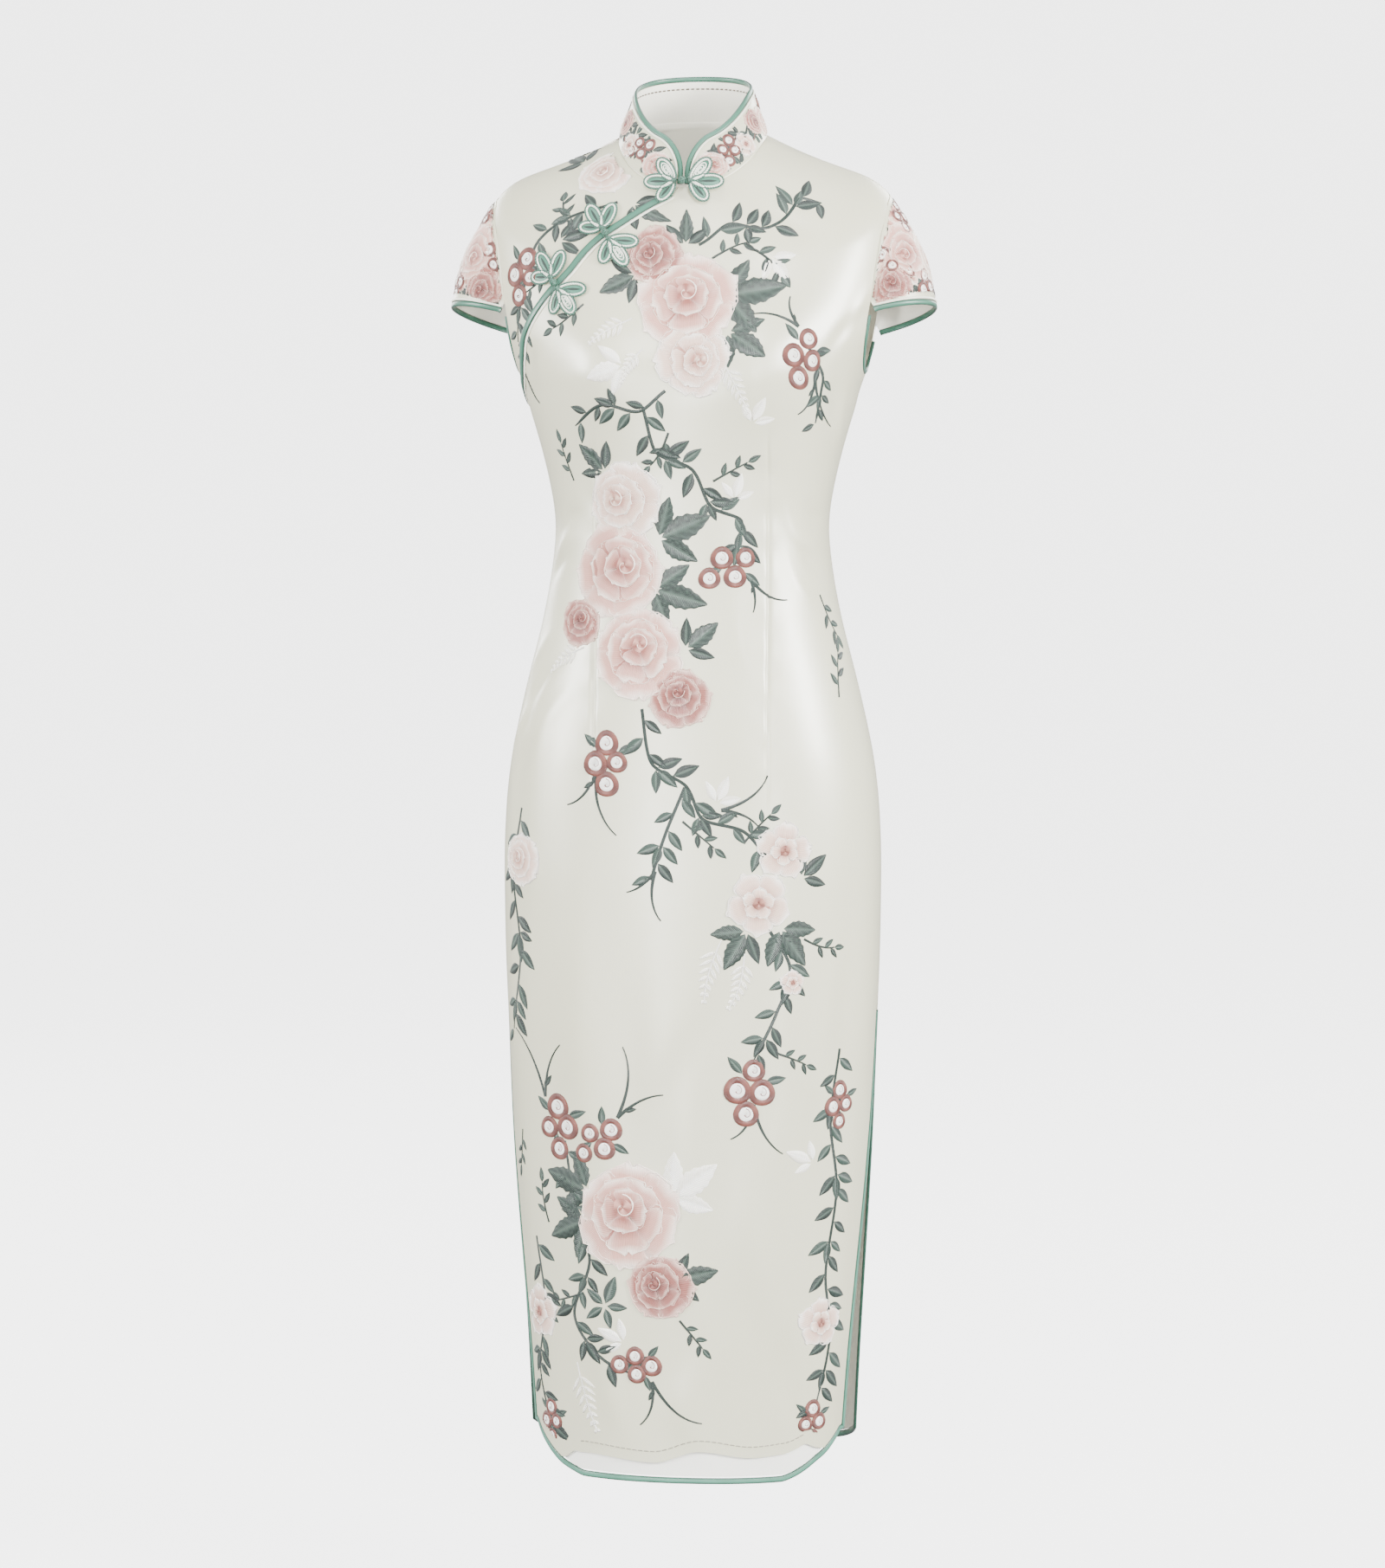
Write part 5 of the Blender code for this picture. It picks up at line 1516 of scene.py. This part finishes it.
def ring_patch(inner, outer, first, second):
    """A padded, slightly uneven ring in two colours by turns, three times each."""
    turn = -math.tau * np.linspace(0.0, 1.0, 21)[:, None]
    share = np.linspace(0.0, 1.0, 4)[None, :]
    radius = inner + (outer * (1 + 0.03 * np.cos(3 * turn)) - inner) * share
    flat = stacked(-radius * np.sin(turn), radius * np.cos(turn))
    relief = 1.3 * RELIEF * np.sin(math.pi * share) + 0.0 * turn
    colours = blended(first, second, 0.5 + 0.5 * np.cos(3 * turn) + 0.0 * share)
    parts = (flat, relief, stacked(turn * outer, radius), colours)
    return Patch(*(part[:, ::-1] for part in parts))


LINE_ACROSS = np.array([-1.0, 0.0, 1.0])
LINE_RELIEF = np.array([-SUNK, RELIEF, -SUNK])


def right_of(ways):
    """Flat directions a quarter turn clockwise from the ways."""
    return np.stack([ways[:, 1], -ways[:, 0]], axis=-1)


def widened(beside, half_widths):
    """Steps from a line's places to the three places of each row across its ridge."""
    return beside[:, None] * LINE_ACROSS[None, :, None] * half_widths[:, None, None]


def ridge(along, colour):
    """A stem's relief, threads and colours, darker along its edges where it goes down into the
    cloth, as painted shade.
    """
    along = along[:, None]
    edge = colour * PAINTED_RIM_SHADE
    colours = np.array([edge, colour, edge])[None] + np.zeros((len(along), 1, 1))
    uv = stacked(LINE_ACROSS[None] + along * STITCH_SLANT, along)
    return LINE_RELIEF[None] + 0.0 * along, uv, colours


def line_patch(points, widths, colour):
    """A stem through flat points."""
    beside = right_of(unit(np.gradient(points, axis=0)))
    flat = points[:, None] + widened(beside, widths / 2)
    return Patch(flat, *ridge(distances_along(points), colour))


def curl_patch(angle, size, radii, count, width, colour):
    """A ridge that winds inwards by the angle, in radians."""
    turns = np.linspace(0.0, angle, count)
    radius = size * np.linspace(*radii, count)
    points = stacked(radius * np.sin(turns), radius * np.cos(turns))
    return line_patch(points, np.full(count, width), colour)


def heading_of(way):
    """A flat way's direction, in degrees clockwise from upwards."""
    return math.degrees(math.atan2(way[0], way[1]))


def sew_leaf(hoop, degrees, shift, length, greens="mid", lift=0.0):
    width, teeth = (0.22, 0.08) if length > TOOTHED_LEAF else (0.2, 0.0)
    patch = leaf_patch(length, length * width, GREENS[greens], teeth)
    hoop.sew(patch, degrees, shift, lift)


def sew_disc(hoop, shift, radius, first, second, lift):
    hoop.sew(ring_patch(0.06 * radius, radius, first, second), 0.0, shift, lift)


def sew_peony(hoop, size, turn, tones, chance):
    """Rings of petals, each higher and rosier than the one outside it, and a little aside."""
    lean = chance.uniform(0, 360)
    for number, ring in enumerate(PEONY_RINGS):
        shares = zip(tones, DEEPER_INWARDS)
        deeper = Tones(*(blended(tone, tones.base, share * number) for tone, share in shares))
        for i in range(ring.count):
            degrees = turn + 360 * (i + 0.5 * (number % 2)) / ring.count
            degrees = degrees + chance.uniform(-8, 8)
            root = ahead(lean, 0.035 * size * number)
            shift = ahead(degrees, ring.start * size / 2, root)
            length = size / 2 * (ring.reach - ring.start) * chance.uniform(0.92, 1.06)
            patch = petal_patch(length, size / 2 * ring.width, deeper, chance.uniform(0, 6))
            sew_petal(hoop, patch, degrees, shift, 0.3 + 0.4 * number + 0.1 * (i % 3), deeper)
    heart = ahead(lean, 0.035 * size * len(PEONY_RINGS))
    sew_disc(hoop, heart, 0.09 * size, tones.middle, tones.base, 1.4)
    curl = curl_patch(5.6, size, (0.12, 0.02), 18, 0.05 * size, tones.rim)
    hoop.lay(curl, turn, heart, 1.7)


def sew_blossom(hoop, size, turn, tones, chance):
    """A flat blossom of five petals, with five small ones on them and a knotted heart."""
    for reach, width, lift in ((1.0, 0.42, 0.3), (0.5, 0.2, 0.8)):
        for i in range(5):
            degrees = turn + 72 * (i + (reach < 1) * 0.5) + chance.uniform(-5, 5)
            patch = petal_patch(size / 2 * reach, size / 2 * width, tones, chance.uniform(0, 6))
            sew_petal(hoop, patch, degrees, MIDDLE, lift + 0.15 * (i % 2), tones)
    sew_disc(hoop, MIDDLE, 0.09 * size, tones.base, RING_ROSE, 1.2)


def sew_ring_bud(hoop, shift, size, lift=0.3):
    """A rosette: a thick rose ring round a pale curled middle."""
    hoop.sew(ring_patch(0.26 * size, 0.5 * size, RING_ROSE, RING_DEEP), 0.0, shift, lift)
    sew_disc(hoop, shift, 0.29 * size, FERN_WHITE, PETAL_TONES["pale"].rim, lift + 0.1)
    curl = curl_patch(4.4, size, (0.22, 0.05), 10, 0.13 * size, RING_ROSE)
    hoop.lay(curl, 0.0, shift, lift + 0.5)


def sew_rings(hoop, size, turn, chance):
    """Four rosettes close together, with small leaves round them."""
    for degrees in (turn + 70, turn + 190, turn + 310):
        sew_leaf(hoop, degrees, ahead(degrees, size * 0.5), size * 0.85, "mid")
    for i, (lean, away) in enumerate(((0, 0.52), (118, 0.5), (236, 0.56), (180, 1.12))):
        middle = ahead(turn + lean, size * away)
        sew_ring_bud(hoop, middle, size * chance.uniform(0.8, 1.04), 0.3 + 0.25 * (i % 3))


def bent_line(length, bend, count=16):
    """A flat curve that starts upwards and bends away, more and more towards its end."""
    share = np.linspace(0.0, 1.0, count)
    heading = np.radians(bend * share**1.6)
    steps = np.stack([np.sin(heading), np.cos(heading)], axis=-1) * length / (count - 1)
    return np.concatenate([[[0.0, 0.0]], np.cumsum(steps[1:], axis=0)])


def sew_tendrils(hoop, size, turn, chance):
    """Two long thin stems that part and bend opposite ways."""
    for lean, share, bend in ((-10, 1.0, -46), (12, 0.72, 52)):
        points = bent_line(size * share, bend * chance.uniform(0.7, 1.3))
        widths = 4.8 * np.linspace(1.0, 0.35, len(points))
        hoop.lay(line_patch(turned(points, turn + lean), widths, STEM_GREEN))
    sew_leaf(hoop, turn + 48, ahead(turn, size * 0.12), size * 0.2, "dark")


def sew_fern(hoop, size, turn, chance):
    """A white frond: a thin bent stem with paired leaflets that grow shorter to its tip."""
    points = bent_line(size, chance.uniform(-30, 30))
    hoop.lay(line_patch(turned(points, turn), np.full(len(points), 2.2), FERN_WHITE))
    for i in range(3, len(points), 2):
        heading = turn + heading_of(points[i] - points[i - 1])
        root = turned(points[i], turn)
        for lean in (-44, 44):
            length = size * 0.3 * (1.15 - i / len(points))
            hoop.sew(leaf_patch(length, 1.6, GREENS["white"]), heading + lean, root, 0.25)


def sew_leaves(hoop, size, turn, chance, greens="dark", fan=(-56, 48, -6)):
    """A fan of leaves, the last of them the longest."""
    for i, lean in enumerate(fan):
        length = size * (1.0 if lean == fan[-1] else chance.uniform(0.68, 0.85))
        sew_leaf(hoop, turn + lean, ahead(turn + lean, 2.0), length, greens, 0.15 * i)


def sew_twig(hoop, size, turn, chance):
    """A short stem with leaves by turns on its two sides and one at its tip."""
    points = bent_line(size, chance.uniform(-35, 35))
    hoop.lay(line_patch(turned(points, turn), 3.2 * np.linspace(1.0, 0.6, len(points)), STEM_GREEN))
    for number, i in enumerate(range(4, len(points) - 1, 3)):
        heading = turn + heading_of(points[i] - points[i - 1])
        lean = 46 if number % 2 else -46
        root, greens = turned(points[i], turn), DARK_GREENS[number % 2]
        sew_leaf(hoop, heading + lean, root, size * 0.36, greens, 0.1)
    sew_leaf(hoop, heading, turned(points[-1], turn), size * 0.4, "mid", 0.1)


SEWN_BY_KIND = {
    "rings": sew_rings,
    "tendrils": sew_tendrils,
    "fern": sew_fern,
    "leaves": sew_leaves,
    "twig": sew_twig,
}


def sew_motif(work, place, motif, seed):
    hoop = work.hoops([place])[0]
    chance = np.random.default_rng(seed)
    size, turn = motif.size, motif.turn
    if motif.kind in PETAL_TONES:
        sew_peony(hoop, size, turn, PETAL_TONES[motif.kind], chance)
    elif motif.kind == "blossom":
        sew_blossom(hoop, size, turn, PETAL_TONES["pale"], chance)
    elif motif.kind == "white leaves":
        sew_leaves(hoop, size, turn, chance, "white")
    elif motif.kind == "whorl":
        sew_leaves(hoop, size, turn, chance, "mid", (-144, -72, 72, 144, 0))
    else:
        SEWN_BY_KIND[motif.kind](hoop, size, turn, chance)


def vine_line(points, count):
    """A smooth curve through the places."""
    Row = namedtuple("Row", "key first second")
    rows = [Row(key, *point) for key, point in zip(np.linspace(0.0, 1.0, len(points)), points)]
    share = np.linspace(0.0, 1.0, count)
    return read(rows, "first", share, "key"), read(rows, "second", share, "key")


def sew_vine(work, places, leaf, spacing, seed, width=4.2, colour=STEM_GREEN, per_place=14):
    """A stem through the places, with leaves by turns on its two sides, alone or in threes."""
    count = per_place * len(places)
    first, second = vine_line(places, count)
    matrices = work.frames_at(first, second)
    steps = np.stack([np.gradient(first), np.gradient(second)], axis=-1)
    ways = np.linalg.solve(matrices, steps[..., None])[..., 0]
    lengths = np.linalg.norm(ways, axis=1)
    ways = ways / lengths[:, None]
    aside = np.einsum("nij,nj->ni", matrices, right_of(ways))
    half_widths = width / 2 * np.minimum(0.4 + 6 * np.linspace(1, 0, count), 1.0)
    along = np.cumsum(lengths)
    moved = widened(aside, half_widths)
    edges = first[:, None] + moved[..., 0], second[:, None] + moved[..., 1]
    work.lay(*edges, *ridge(along, colour))
    if not leaf:
        return
    chance = np.random.default_rng(seed)
    side = 1
    for number, mark in enumerate(np.arange(spacing * 0.7, along[-1], spacing)):
        i = min(int(np.searchsorted(along, mark)), count - 1)
        heading = heading_of(ways[i])
        hoop = Hoop(work, first[i], second[i], matrices[i])
        side = -side
        leans = (-58, 52, 4) if number % 4 == 3 else (side * chance.uniform(36, 62),)
        for degrees in (heading + lean for lean in leans):
            length = leaf * chance.uniform(0.8, 1.2)
            sew_leaf(hoop, degrees, ahead(degrees, 1.2), length, chance.choice(DARK_GREENS), 0.1)


# How much cloth stays free of stitches along the edges
NECK_MARGIN = 3
FRONT_HEM_MARGIN = 12
BACK_HEM_MARGIN = 10
UNDERLAP_FOOT = -224
COLLAR_FOOT_MARGIN = 1.5
COLLAR_TOP_MARGIN = 3.4
COLLAR_CORNER_MARGIN = 2.5
SLEEVE_ROUND = (0.015, 0.985)
SLEEVE_DOWN = (0.03, 0.93)


def within(value, low, high):
    return (value > low) & (value < high)


def in_front(angle, level):
    right, left = front_span(level)
    in_height = within(level, satin_hem(angle) + FRONT_HEM_MARGIN, NECK - NECK_MARGIN)
    return within(angle, right + 0.7, left - 0.5) & in_height


def in_underlap(angle, level):
    right, left = underlap_span(level)
    in_height = within(level, UNDERLAP_FOOT, NECK - NECK_MARGIN)
    return within(angle, right + 0.5, left - 0.4) & in_height


def in_back(angle, level):
    right, left = back_span(level)
    in_height = within(level, back_hem(angle) + BACK_HEM_MARGIN, NECK - NECK_MARGIN)
    return within(angle, right + 0.5, left - 0.5) & in_height


def in_collar(angle, height):
    past_corner = np.abs(signed_angle(angle)) > COLLAR_FRONT_ANGLE + COLLAR_CORNER_MARGIN
    return within(height, COLLAR_FOOT_MARGIN, collar_rise(angle) - COLLAR_TOP_MARGIN) & past_corner


def in_sleeve(round_share, down_share):
    return within(round_share, *SLEEVE_ROUND) & within(down_share, *SLEEVE_DOWN)


def on_front(across, level):
    return math.degrees(math.asin(across / float(read(SECTIONS, "side_x", level)))), level


def on_back(across, level):
    return 180 + on_front(across, level)[0], level


VINES = rows_of(
    Vine,
    (20, 13, [(16, -96), (42, -80), (74, -88), (100, -76), (120, -84)]),
    (19, 14, [(-10, -222), (-36, -240), (-64, -234), (-92, -252)]),
    (21, 14, [(-30, -236), (-20, -274), (12, -290), (28, -322), (54, -336), (50, -366)]),
    (22, 15, [(-32, -498), (-24, -544), (8, -566), (22, -594), (56, -604), (80, -632)]),
    (20, 15, [(6, -566), (-12, -610), (-24, -648)]),
    (20, 14, [(78, -690), (96, -728), (84, -766), (66, -806)]),
    (22, 16, [(-106, -884), (-98, -934), (-84, -988), (-100, -1040), (-72, -1078), (-40, -1092)]),
    (16, 13, [(112, -186), (122, -216), (116, -250)]),
    (23, 15, [(-148, -590), (-156, -652), (-148, -718), (-156, -790)]),
    (22, 14, [(-138, -975), (-130, -1036), (-138, -1096), (-124, -1150)]),
    (21, 15, [(140, -800), (132, -862), (138, -930), (130, -1000), (134, -1060), (122, -1124)]),
    (19, 12, [(-58, -66), (-98, -84), (-128, -104), (-140, -140), (-148, -184)]),
)
MOTIFS = rows_of(
    Motif,
    ("leaves", 40, -140, 54, 92), ("leaves", 44, -172, 42, 128), ("leaves", -38, -122, 36, 246),
    ("leaves", 4, -96, 32, 8), ("fern", 40, -196, 50, 150), ("fern", -40, -160, 46, 244),
    ("fern", -30, -186, 36, 224), ("pale", 14, -196, 68, 20), ("pink", 8, -146, 94, 0),
    ("rosy", -24, -106, 58, 40), ("tendrils", 116, -214, 52, 176),
    ("tendrils", 104, -170, 40, 320), ("rings", 110, -190, 22, 20),
    ("tendrils", 62, -386, 40, 150), ("rings", 48, -372, 22, 60), ("leaves", -18, -350, 48, 72),
    ("leaves", -22, -394, 46, 112), ("fern", -86, -446, 44, 250), ("leaves", 6, -446, 36, 58),
    ("leaves", -66, -292, 32, 322), ("pale", -50, -318, 72, 10), ("rosy", -90, -424, 44, 10),
    ("pink", -56, -378, 90, 30), ("pink", -38, -450, 86, 300), ("rosy", 2, -488, 56, 80),
    ("tendrils", -74, -556, 58, 192), ("rings", -64, -540, 22, 0), ("tendrils", 38, -586, 54, 84),
    ("tendrils", -20, -640, 46, 206), ("leaves", 88, -690, 40, 150),
    ("leaves", 60, -692, 38, 216), ("leaves", 106, -646, 30, 58), ("fern", 38, -700, 56, 204),
    ("fern", 58, -712, 50, 184), ("blossom", 92, -622, 54, 10), ("blossom", 70, -668, 62, 40),
    ("tendrils", 66, -846, 54, 178), ("blossom", 98, -738, 24, 0), ("rings", 64, -828, 24, 10),
    ("tendrils", -124, -846, 74, 352), ("tendrils", -56, -860, 66, 34),
    ("rings", -112, -866, 23, 0), ("rings", -70, -878, 21, 50), ("leaves", -84, -926, 48, 292),
    ("leaves", -88, -954, 42, 252), ("leaves", -4, -1004, 38, 82),
    ("white leaves", -6, -930, 48, 58), ("pink", -48, -950, 102, 0), ("rosy", -18, -1010, 64, 30),
    ("whorl", -70, -1030, 27, 20), ("tendrils", -26, -1096, 60, 160),
    ("rings", -36, -1082, 18, 90), ("fern", -98, -1084, 62, 166), ("pale", -148, -636, 52, 0),
    ("blossom", -136, -1044, 52, 0), ("rings", -126, -1138, 16, 0), ("rings", 140, -846, 17, 0),
    ("blossom", 126, -1046, 48, 0), ("rings", 120, -1132, 16, 0), ("twig", 118, -400, 40, 160),
    ("twig", 136, -490, 40, 8), ("leaves", -44, -64, 32, 120), ("leaves", -92, -60, 32, 250),
    ("pale", -70, -55, 56, 0), ("leaves", -112, -104, 30, 60), ("rings", -142, -132, 20, 0),
    ("twig", -136, -168, 40, 196), ("twig", -84, -150, 38, 220),
    ("white leaves", 78, -112, 26, 150), ("twig", 60, -100, 44, 128), ("twig", 28, -108, 36, 60),
    ("white leaves", -46, -200, 36, 258), ("white leaves", 64, -250, 24, 30),
    ("twig", -8, -258, 34, 200), ("twig", 30, -300, 34, 60), ("white leaves", 48, -316, 22, 20),
    ("twig", -96, -300, 34, 340), ("twig", 4, -596, 36, 130), ("twig", 58, -614, 34, 40),
    ("white leaves", 34, -580, 24, 30), ("twig", 108, -700, 34, 120), ("twig", 84, -800, 32, 110),
    ("twig", -90, -1020, 34, 250), ("white leaves", -52, -1062, 26, 300),
    ("twig", -124, -960, 36, 340), ("twig", 0, -1040, 32, 140), ("twig", -118, -130, 34, 220),
    ("twig", -100, -92, 34, 300), ("tendrils", -146, -200, 48, 176),
    ("white leaves", 118, -900, 26, 300), ("twig", -150, -880, 34, 190),
)
UNDERLAP_LOWEST = -240
LOWEST = -2000
BODY_STEPS = (0.5, 1.0)
SLEEVE_STEPS = (0.01, 0.02)

# Where the random draws of each piece start; a vine or motif adds its own number
FRONT_SEED, BACK_SEED, MOTIF_SEED = 100, 300, 50
SLEEVE_SEED, SLEEVE_MOTIF_SEED = 410, 430
COLLAR_SEED, COLLAR_MOTIF_SEED = 500, 540


def sew_body(name, place, inside, seed, flip=1, lowest=LOWEST):
    """The vines and motifs above the lowest level, put on a panel by place and kept inside it."""
    work = Needlework(satin_spot, inside, *BODY_STEPS)
    for number, vine in enumerate(VINES):
        if vine.points[0][1] > lowest:
            places = [place(flip * across, level) for across, level in vine.points]
            sew_vine(work, places, vine.leaf, vine.spacing, seed + number)
    for number, motif in enumerate(MOTIFS):
        if motif.level > lowest:
            at = place(flip * motif.across, motif.level)
            sew_motif(work, at, motif._replace(turn=flip * motif.turn), seed + MOTIF_SEED + number)
    return make_piece(name, work.sewn(), [SILK])


SLEEVE_MOTIFS = rows_of(
    Motif,
    ("pink", 0.30, 0.42, 58, 0), ("rosy", 0.13, 0.62, 40, 30), ("pale", 0.50, 0.60, 60, 10),
    ("pink", 0.70, 0.40, 56, 50), ("rosy", 0.88, 0.62, 42, 0), ("rings", 0.20, 0.24, 15, 0),
    ("rings", 0.41, 0.14, 14, 40), ("rings", 0.60, 0.16, 14, 10), ("rings", 0.80, 0.22, 15, 30),
    ("rings", 0.36, 0.84, 14, 0), ("rings", 0.64, 0.84, 14, 60),
)


def sew_sleeve(name, side):
    """The whole sleeve is covered: leaves close together, with flowers over them."""

    def spot(round_share, down_share):
        points, outs = sleeve_spot(round_share, down_share)
        return mirrored(points, side), mirrored(outs, side)

    work = Needlework(spot, in_sleeve, *SLEEVE_STEPS)
    chance = np.random.default_rng(SLEEVE_SEED)
    places = []
    for row, down in enumerate((0.10, 0.30, 0.50, 0.70, 0.88)):
        odd = row % 2
        places += [(0.04 + 0.083 * (column + 0.5 * odd), down) for column in range(12 - odd)]
    for number, hoop in enumerate(work.hoops(places)):
        turn = chance.uniform(0, 360)
        for lean in (0, 95, 180, 265):
            length = chance.uniform(12, 17)
            if chance.uniform() < 0.4:
                sew_leaf(hoop, turn + lean, MIDDLE, length, chance.choice(DARK_GREENS), 0.05)
            else:
                tones = PETAL_TONES[("pink", "pale", "rosy", "pink")[number % 4]]
                petal = petal_patch(length * 0.8, length * 0.34, tones, lean)
                hoop.sew(petal, turn + lean, MIDDLE, 0.1)
    for number, motif in enumerate(SLEEVE_MOTIFS):
        sew_motif(work, (motif.across, motif.level), motif, SLEEVE_MOTIF_SEED + number)
    return make_piece(name, work.sewn(), [SILK])


def sew_collar():
    """On each side two crossing vines from the back to the front, thick with small flowers."""
    work = Needlework(collar_spot, in_collar, *BODY_STEPS)
    for side in (1, -1):
        for low, high in ((10, 25), (25, 10)):
            angles = np.linspace(176, 20, 11)
            heights = [(low, high)[i % 2] for i in range(len(angles))]
            places = [(float(side * angle) % 360, height) for angle, height in zip(angles, heights)]
            colour = (STEM_GREEN, RING_ROSE)[low > high]
            sew_vine(work, places, 12, 8, COLLAR_SEED + low, 3.4, colour)
        for i in range(10):
            kind, size = (("pink", 30), ("rings", 12), ("blossom", 24), ("rosy", 26))[i % 4]
            place = (side * (24 + 16.5 * i) % 360, 13 + 9 * (i % 2))
            sew_motif(work, place, Motif(kind, 0, 0, size, 40 * i), COLLAR_MOTIF_SEED + i)
    return make_piece("collar_embroidery", work.sewn(), [SILK])


def lining_spot(angle, height):
    """The inside of the collar, facing inwards."""
    points, outs = collar_spot(angle, height)
    return points - outs * COLLAR_CLOTH, -outs


def everywhere(first, second):
    return np.ones(np.shape(first), bool)


def sewn_row(name, spot, first, second, dash, colour):
    """A row of stitches through the places, each a short raised dash."""
    work = Needlework(spot, everywhere, *BODY_STEPS)
    for start in range(0, len(first) - dash, dash + 1):
        these = slice(start, start + dash + 1)
        sew_vine(work, list(zip(first[these], second[these])), 0, 0, 0, 1.4, colour, 2)
    return make_piece(name, work.sewn(), [SILK])


def make_stitches():
    """The row above the hem of the satin, and the row under the binding inside the collar."""
    angle = np.linspace(-40.0, 49.0, 160)
    sewn_row("satin_hem_stitches", satin_spot, angle, satin_hem(angle) + 10, 3, HEM_STITCH)
    angle = np.linspace(60.0, 300.0, 150)
    sewn_row("collar_stitches", lining_spot, angle, collar_rise(angle) - 6, 2, COLLAR_STITCH)


def make_embroidery():
    sew_body("front_embroidery", on_front, in_front, FRONT_SEED)
    name = "chest_underlap_embroidery"
    sew_body(name, on_front, in_underlap, FRONT_SEED, lowest=UNDERLAP_LOWEST)
    sew_body("back_embroidery", on_back, in_back, BACK_SEED, flip=-1)
    sew_collar()
    for name, side in SIDES.items():
        sew_sleeve(f"sleeve_{name}_embroidery", side)


# ---------------------------------------------------------------- studio
# Metres, unlike the dress
FLOOR_LEVEL = -1.34
FLOOR_RINGS = np.array([0.0, 0.6, 1.4, 2.6, 4.0, 5.4, 6.6, 7.6, 8.3, 8.8, 9.0])
FLOOR_HEIGHTS = np.array([0.0, 0.0, 0.0, 0.0, 0.0, 0.12, 0.5, 1.2, 2.3, 3.8, 5.6])
Light = namedtuple("Light", "name place width height power")
LIGHTS = rows_of(
    Light,
    ("right_light", (3.1, -1.5, 0.3), 0.8, 1.2, 330.0),
    ("left_light", (-3.1, -1.5, 0.1), 0.8, 1.2, 210.0),
    ("front_light", (0.7, -3.3, 1.7), 1.0, 1.0, 120.0),
    ("middle_strip", (-0.7, -3.2, -0.9), 0.22, 1.6, 110.0),
    ("side_strip", (1.5, -2.9, -0.5), 0.22, 1.8, 60.0),
    ("top_light", (-0.2, -0.3, 2.7), 1.6, 1.6, 90.0),
    ("back_light", (1.8, 3.0, 1.4), 1.8, 1.8, 140.0),
    ("far_back_light", (-2.4, 2.6, 0.6), 1.8, 1.8, 120.0),
)
LIGHT_AIM = Vector((0.0, 0.0, -0.58))
SKY_COLOUR = (0.92, 0.93, 0.95, 1.0)
SKY_STRENGTH = 0.55
CAMERA_AZIMUTH = math.radians(7.0)
CAMERA_DISTANCE = 3.8
CAMERA_HEIGHT = -0.25
CAMERA_AIM = Vector((0.0, 0.0, -0.572))
SENSOR = 36.0
LENS = 97.7


def placed(name, data, place, aim=None):
    """A thing of the studio, turned to look at its aim if it has one."""
    made = bpy.data.objects.new(name, data)
    made.location = place
    if aim is not None:
        made.rotation_mode = "QUATERNION"
        made.rotation_quaternion = (aim - made.location).to_track_quat("-Z", "Y")
    bpy.context.scene.collection.objects.link(made)
    return made


def make_studio():
    """A wide pale bowl under and round the dress, soft lights and the camera."""
    radius, turn = FLOOR_RINGS[:, None], np.radians(np.linspace(0, 360, 97))[None, :]
    level = FLOOR_LEVEL + FLOOR_HEIGHTS[:, None]
    points = stacked(radius * np.cos(turn), radius * np.sin(turn), level) / MM
    floor = Gathered()
    floor.grid(points, points[..., :2] * 0.01)
    mesh = bpy.data.meshes.new("studio_floor")
    mesh.from_pydata((np.concatenate(floor.points) * MM).tolist(), [], floor.faces)
    mesh.materials.append(PAPER)
    mesh.shade_smooth()
    sweep = placed("studio_floor", mesh, (0.0, 0.0, 0.0))
    sweep.visible_diffuse = False
    sweep.visible_glossy = False
    for light in LIGHTS:
        data = bpy.data.lights.new(light.name, "AREA")
        data.shape, data.energy = "RECTANGLE", light.power
        data.size, data.size_y = light.width, light.height
        placed(light.name, data, light.place, LIGHT_AIM)
    world = bpy.data.worlds.new("studio_air")
    world.use_nodes = True
    sky = world.node_tree.nodes["Background"]
    sky.inputs["Color"].default_value = SKY_COLOUR
    sky.inputs["Strength"].default_value = SKY_STRENGTH
    bpy.context.scene.world = world
    data = bpy.data.cameras.new("front_camera")
    data.sensor_fit = "VERTICAL"
    data.sensor_width = data.sensor_height = SENSOR
    data.lens = LENS
    right, back = (CAMERA_DISTANCE * way(CAMERA_AZIMUTH) for way in (math.sin, math.cos))
    camera = placed("front_camera", data, (right, -back, CAMERA_HEIGHT), CAMERA_AIM)
    bpy.context.scene.camera = camera


front, back, underlap, band = make_panels()
make_slit_bindings()
make_opening_binding()
sleeves = make_sleeves()
make_armhole_bindings()
collar = make_collar()
make_frogs()
make_embroidery()
make_stitches()
make_studio()
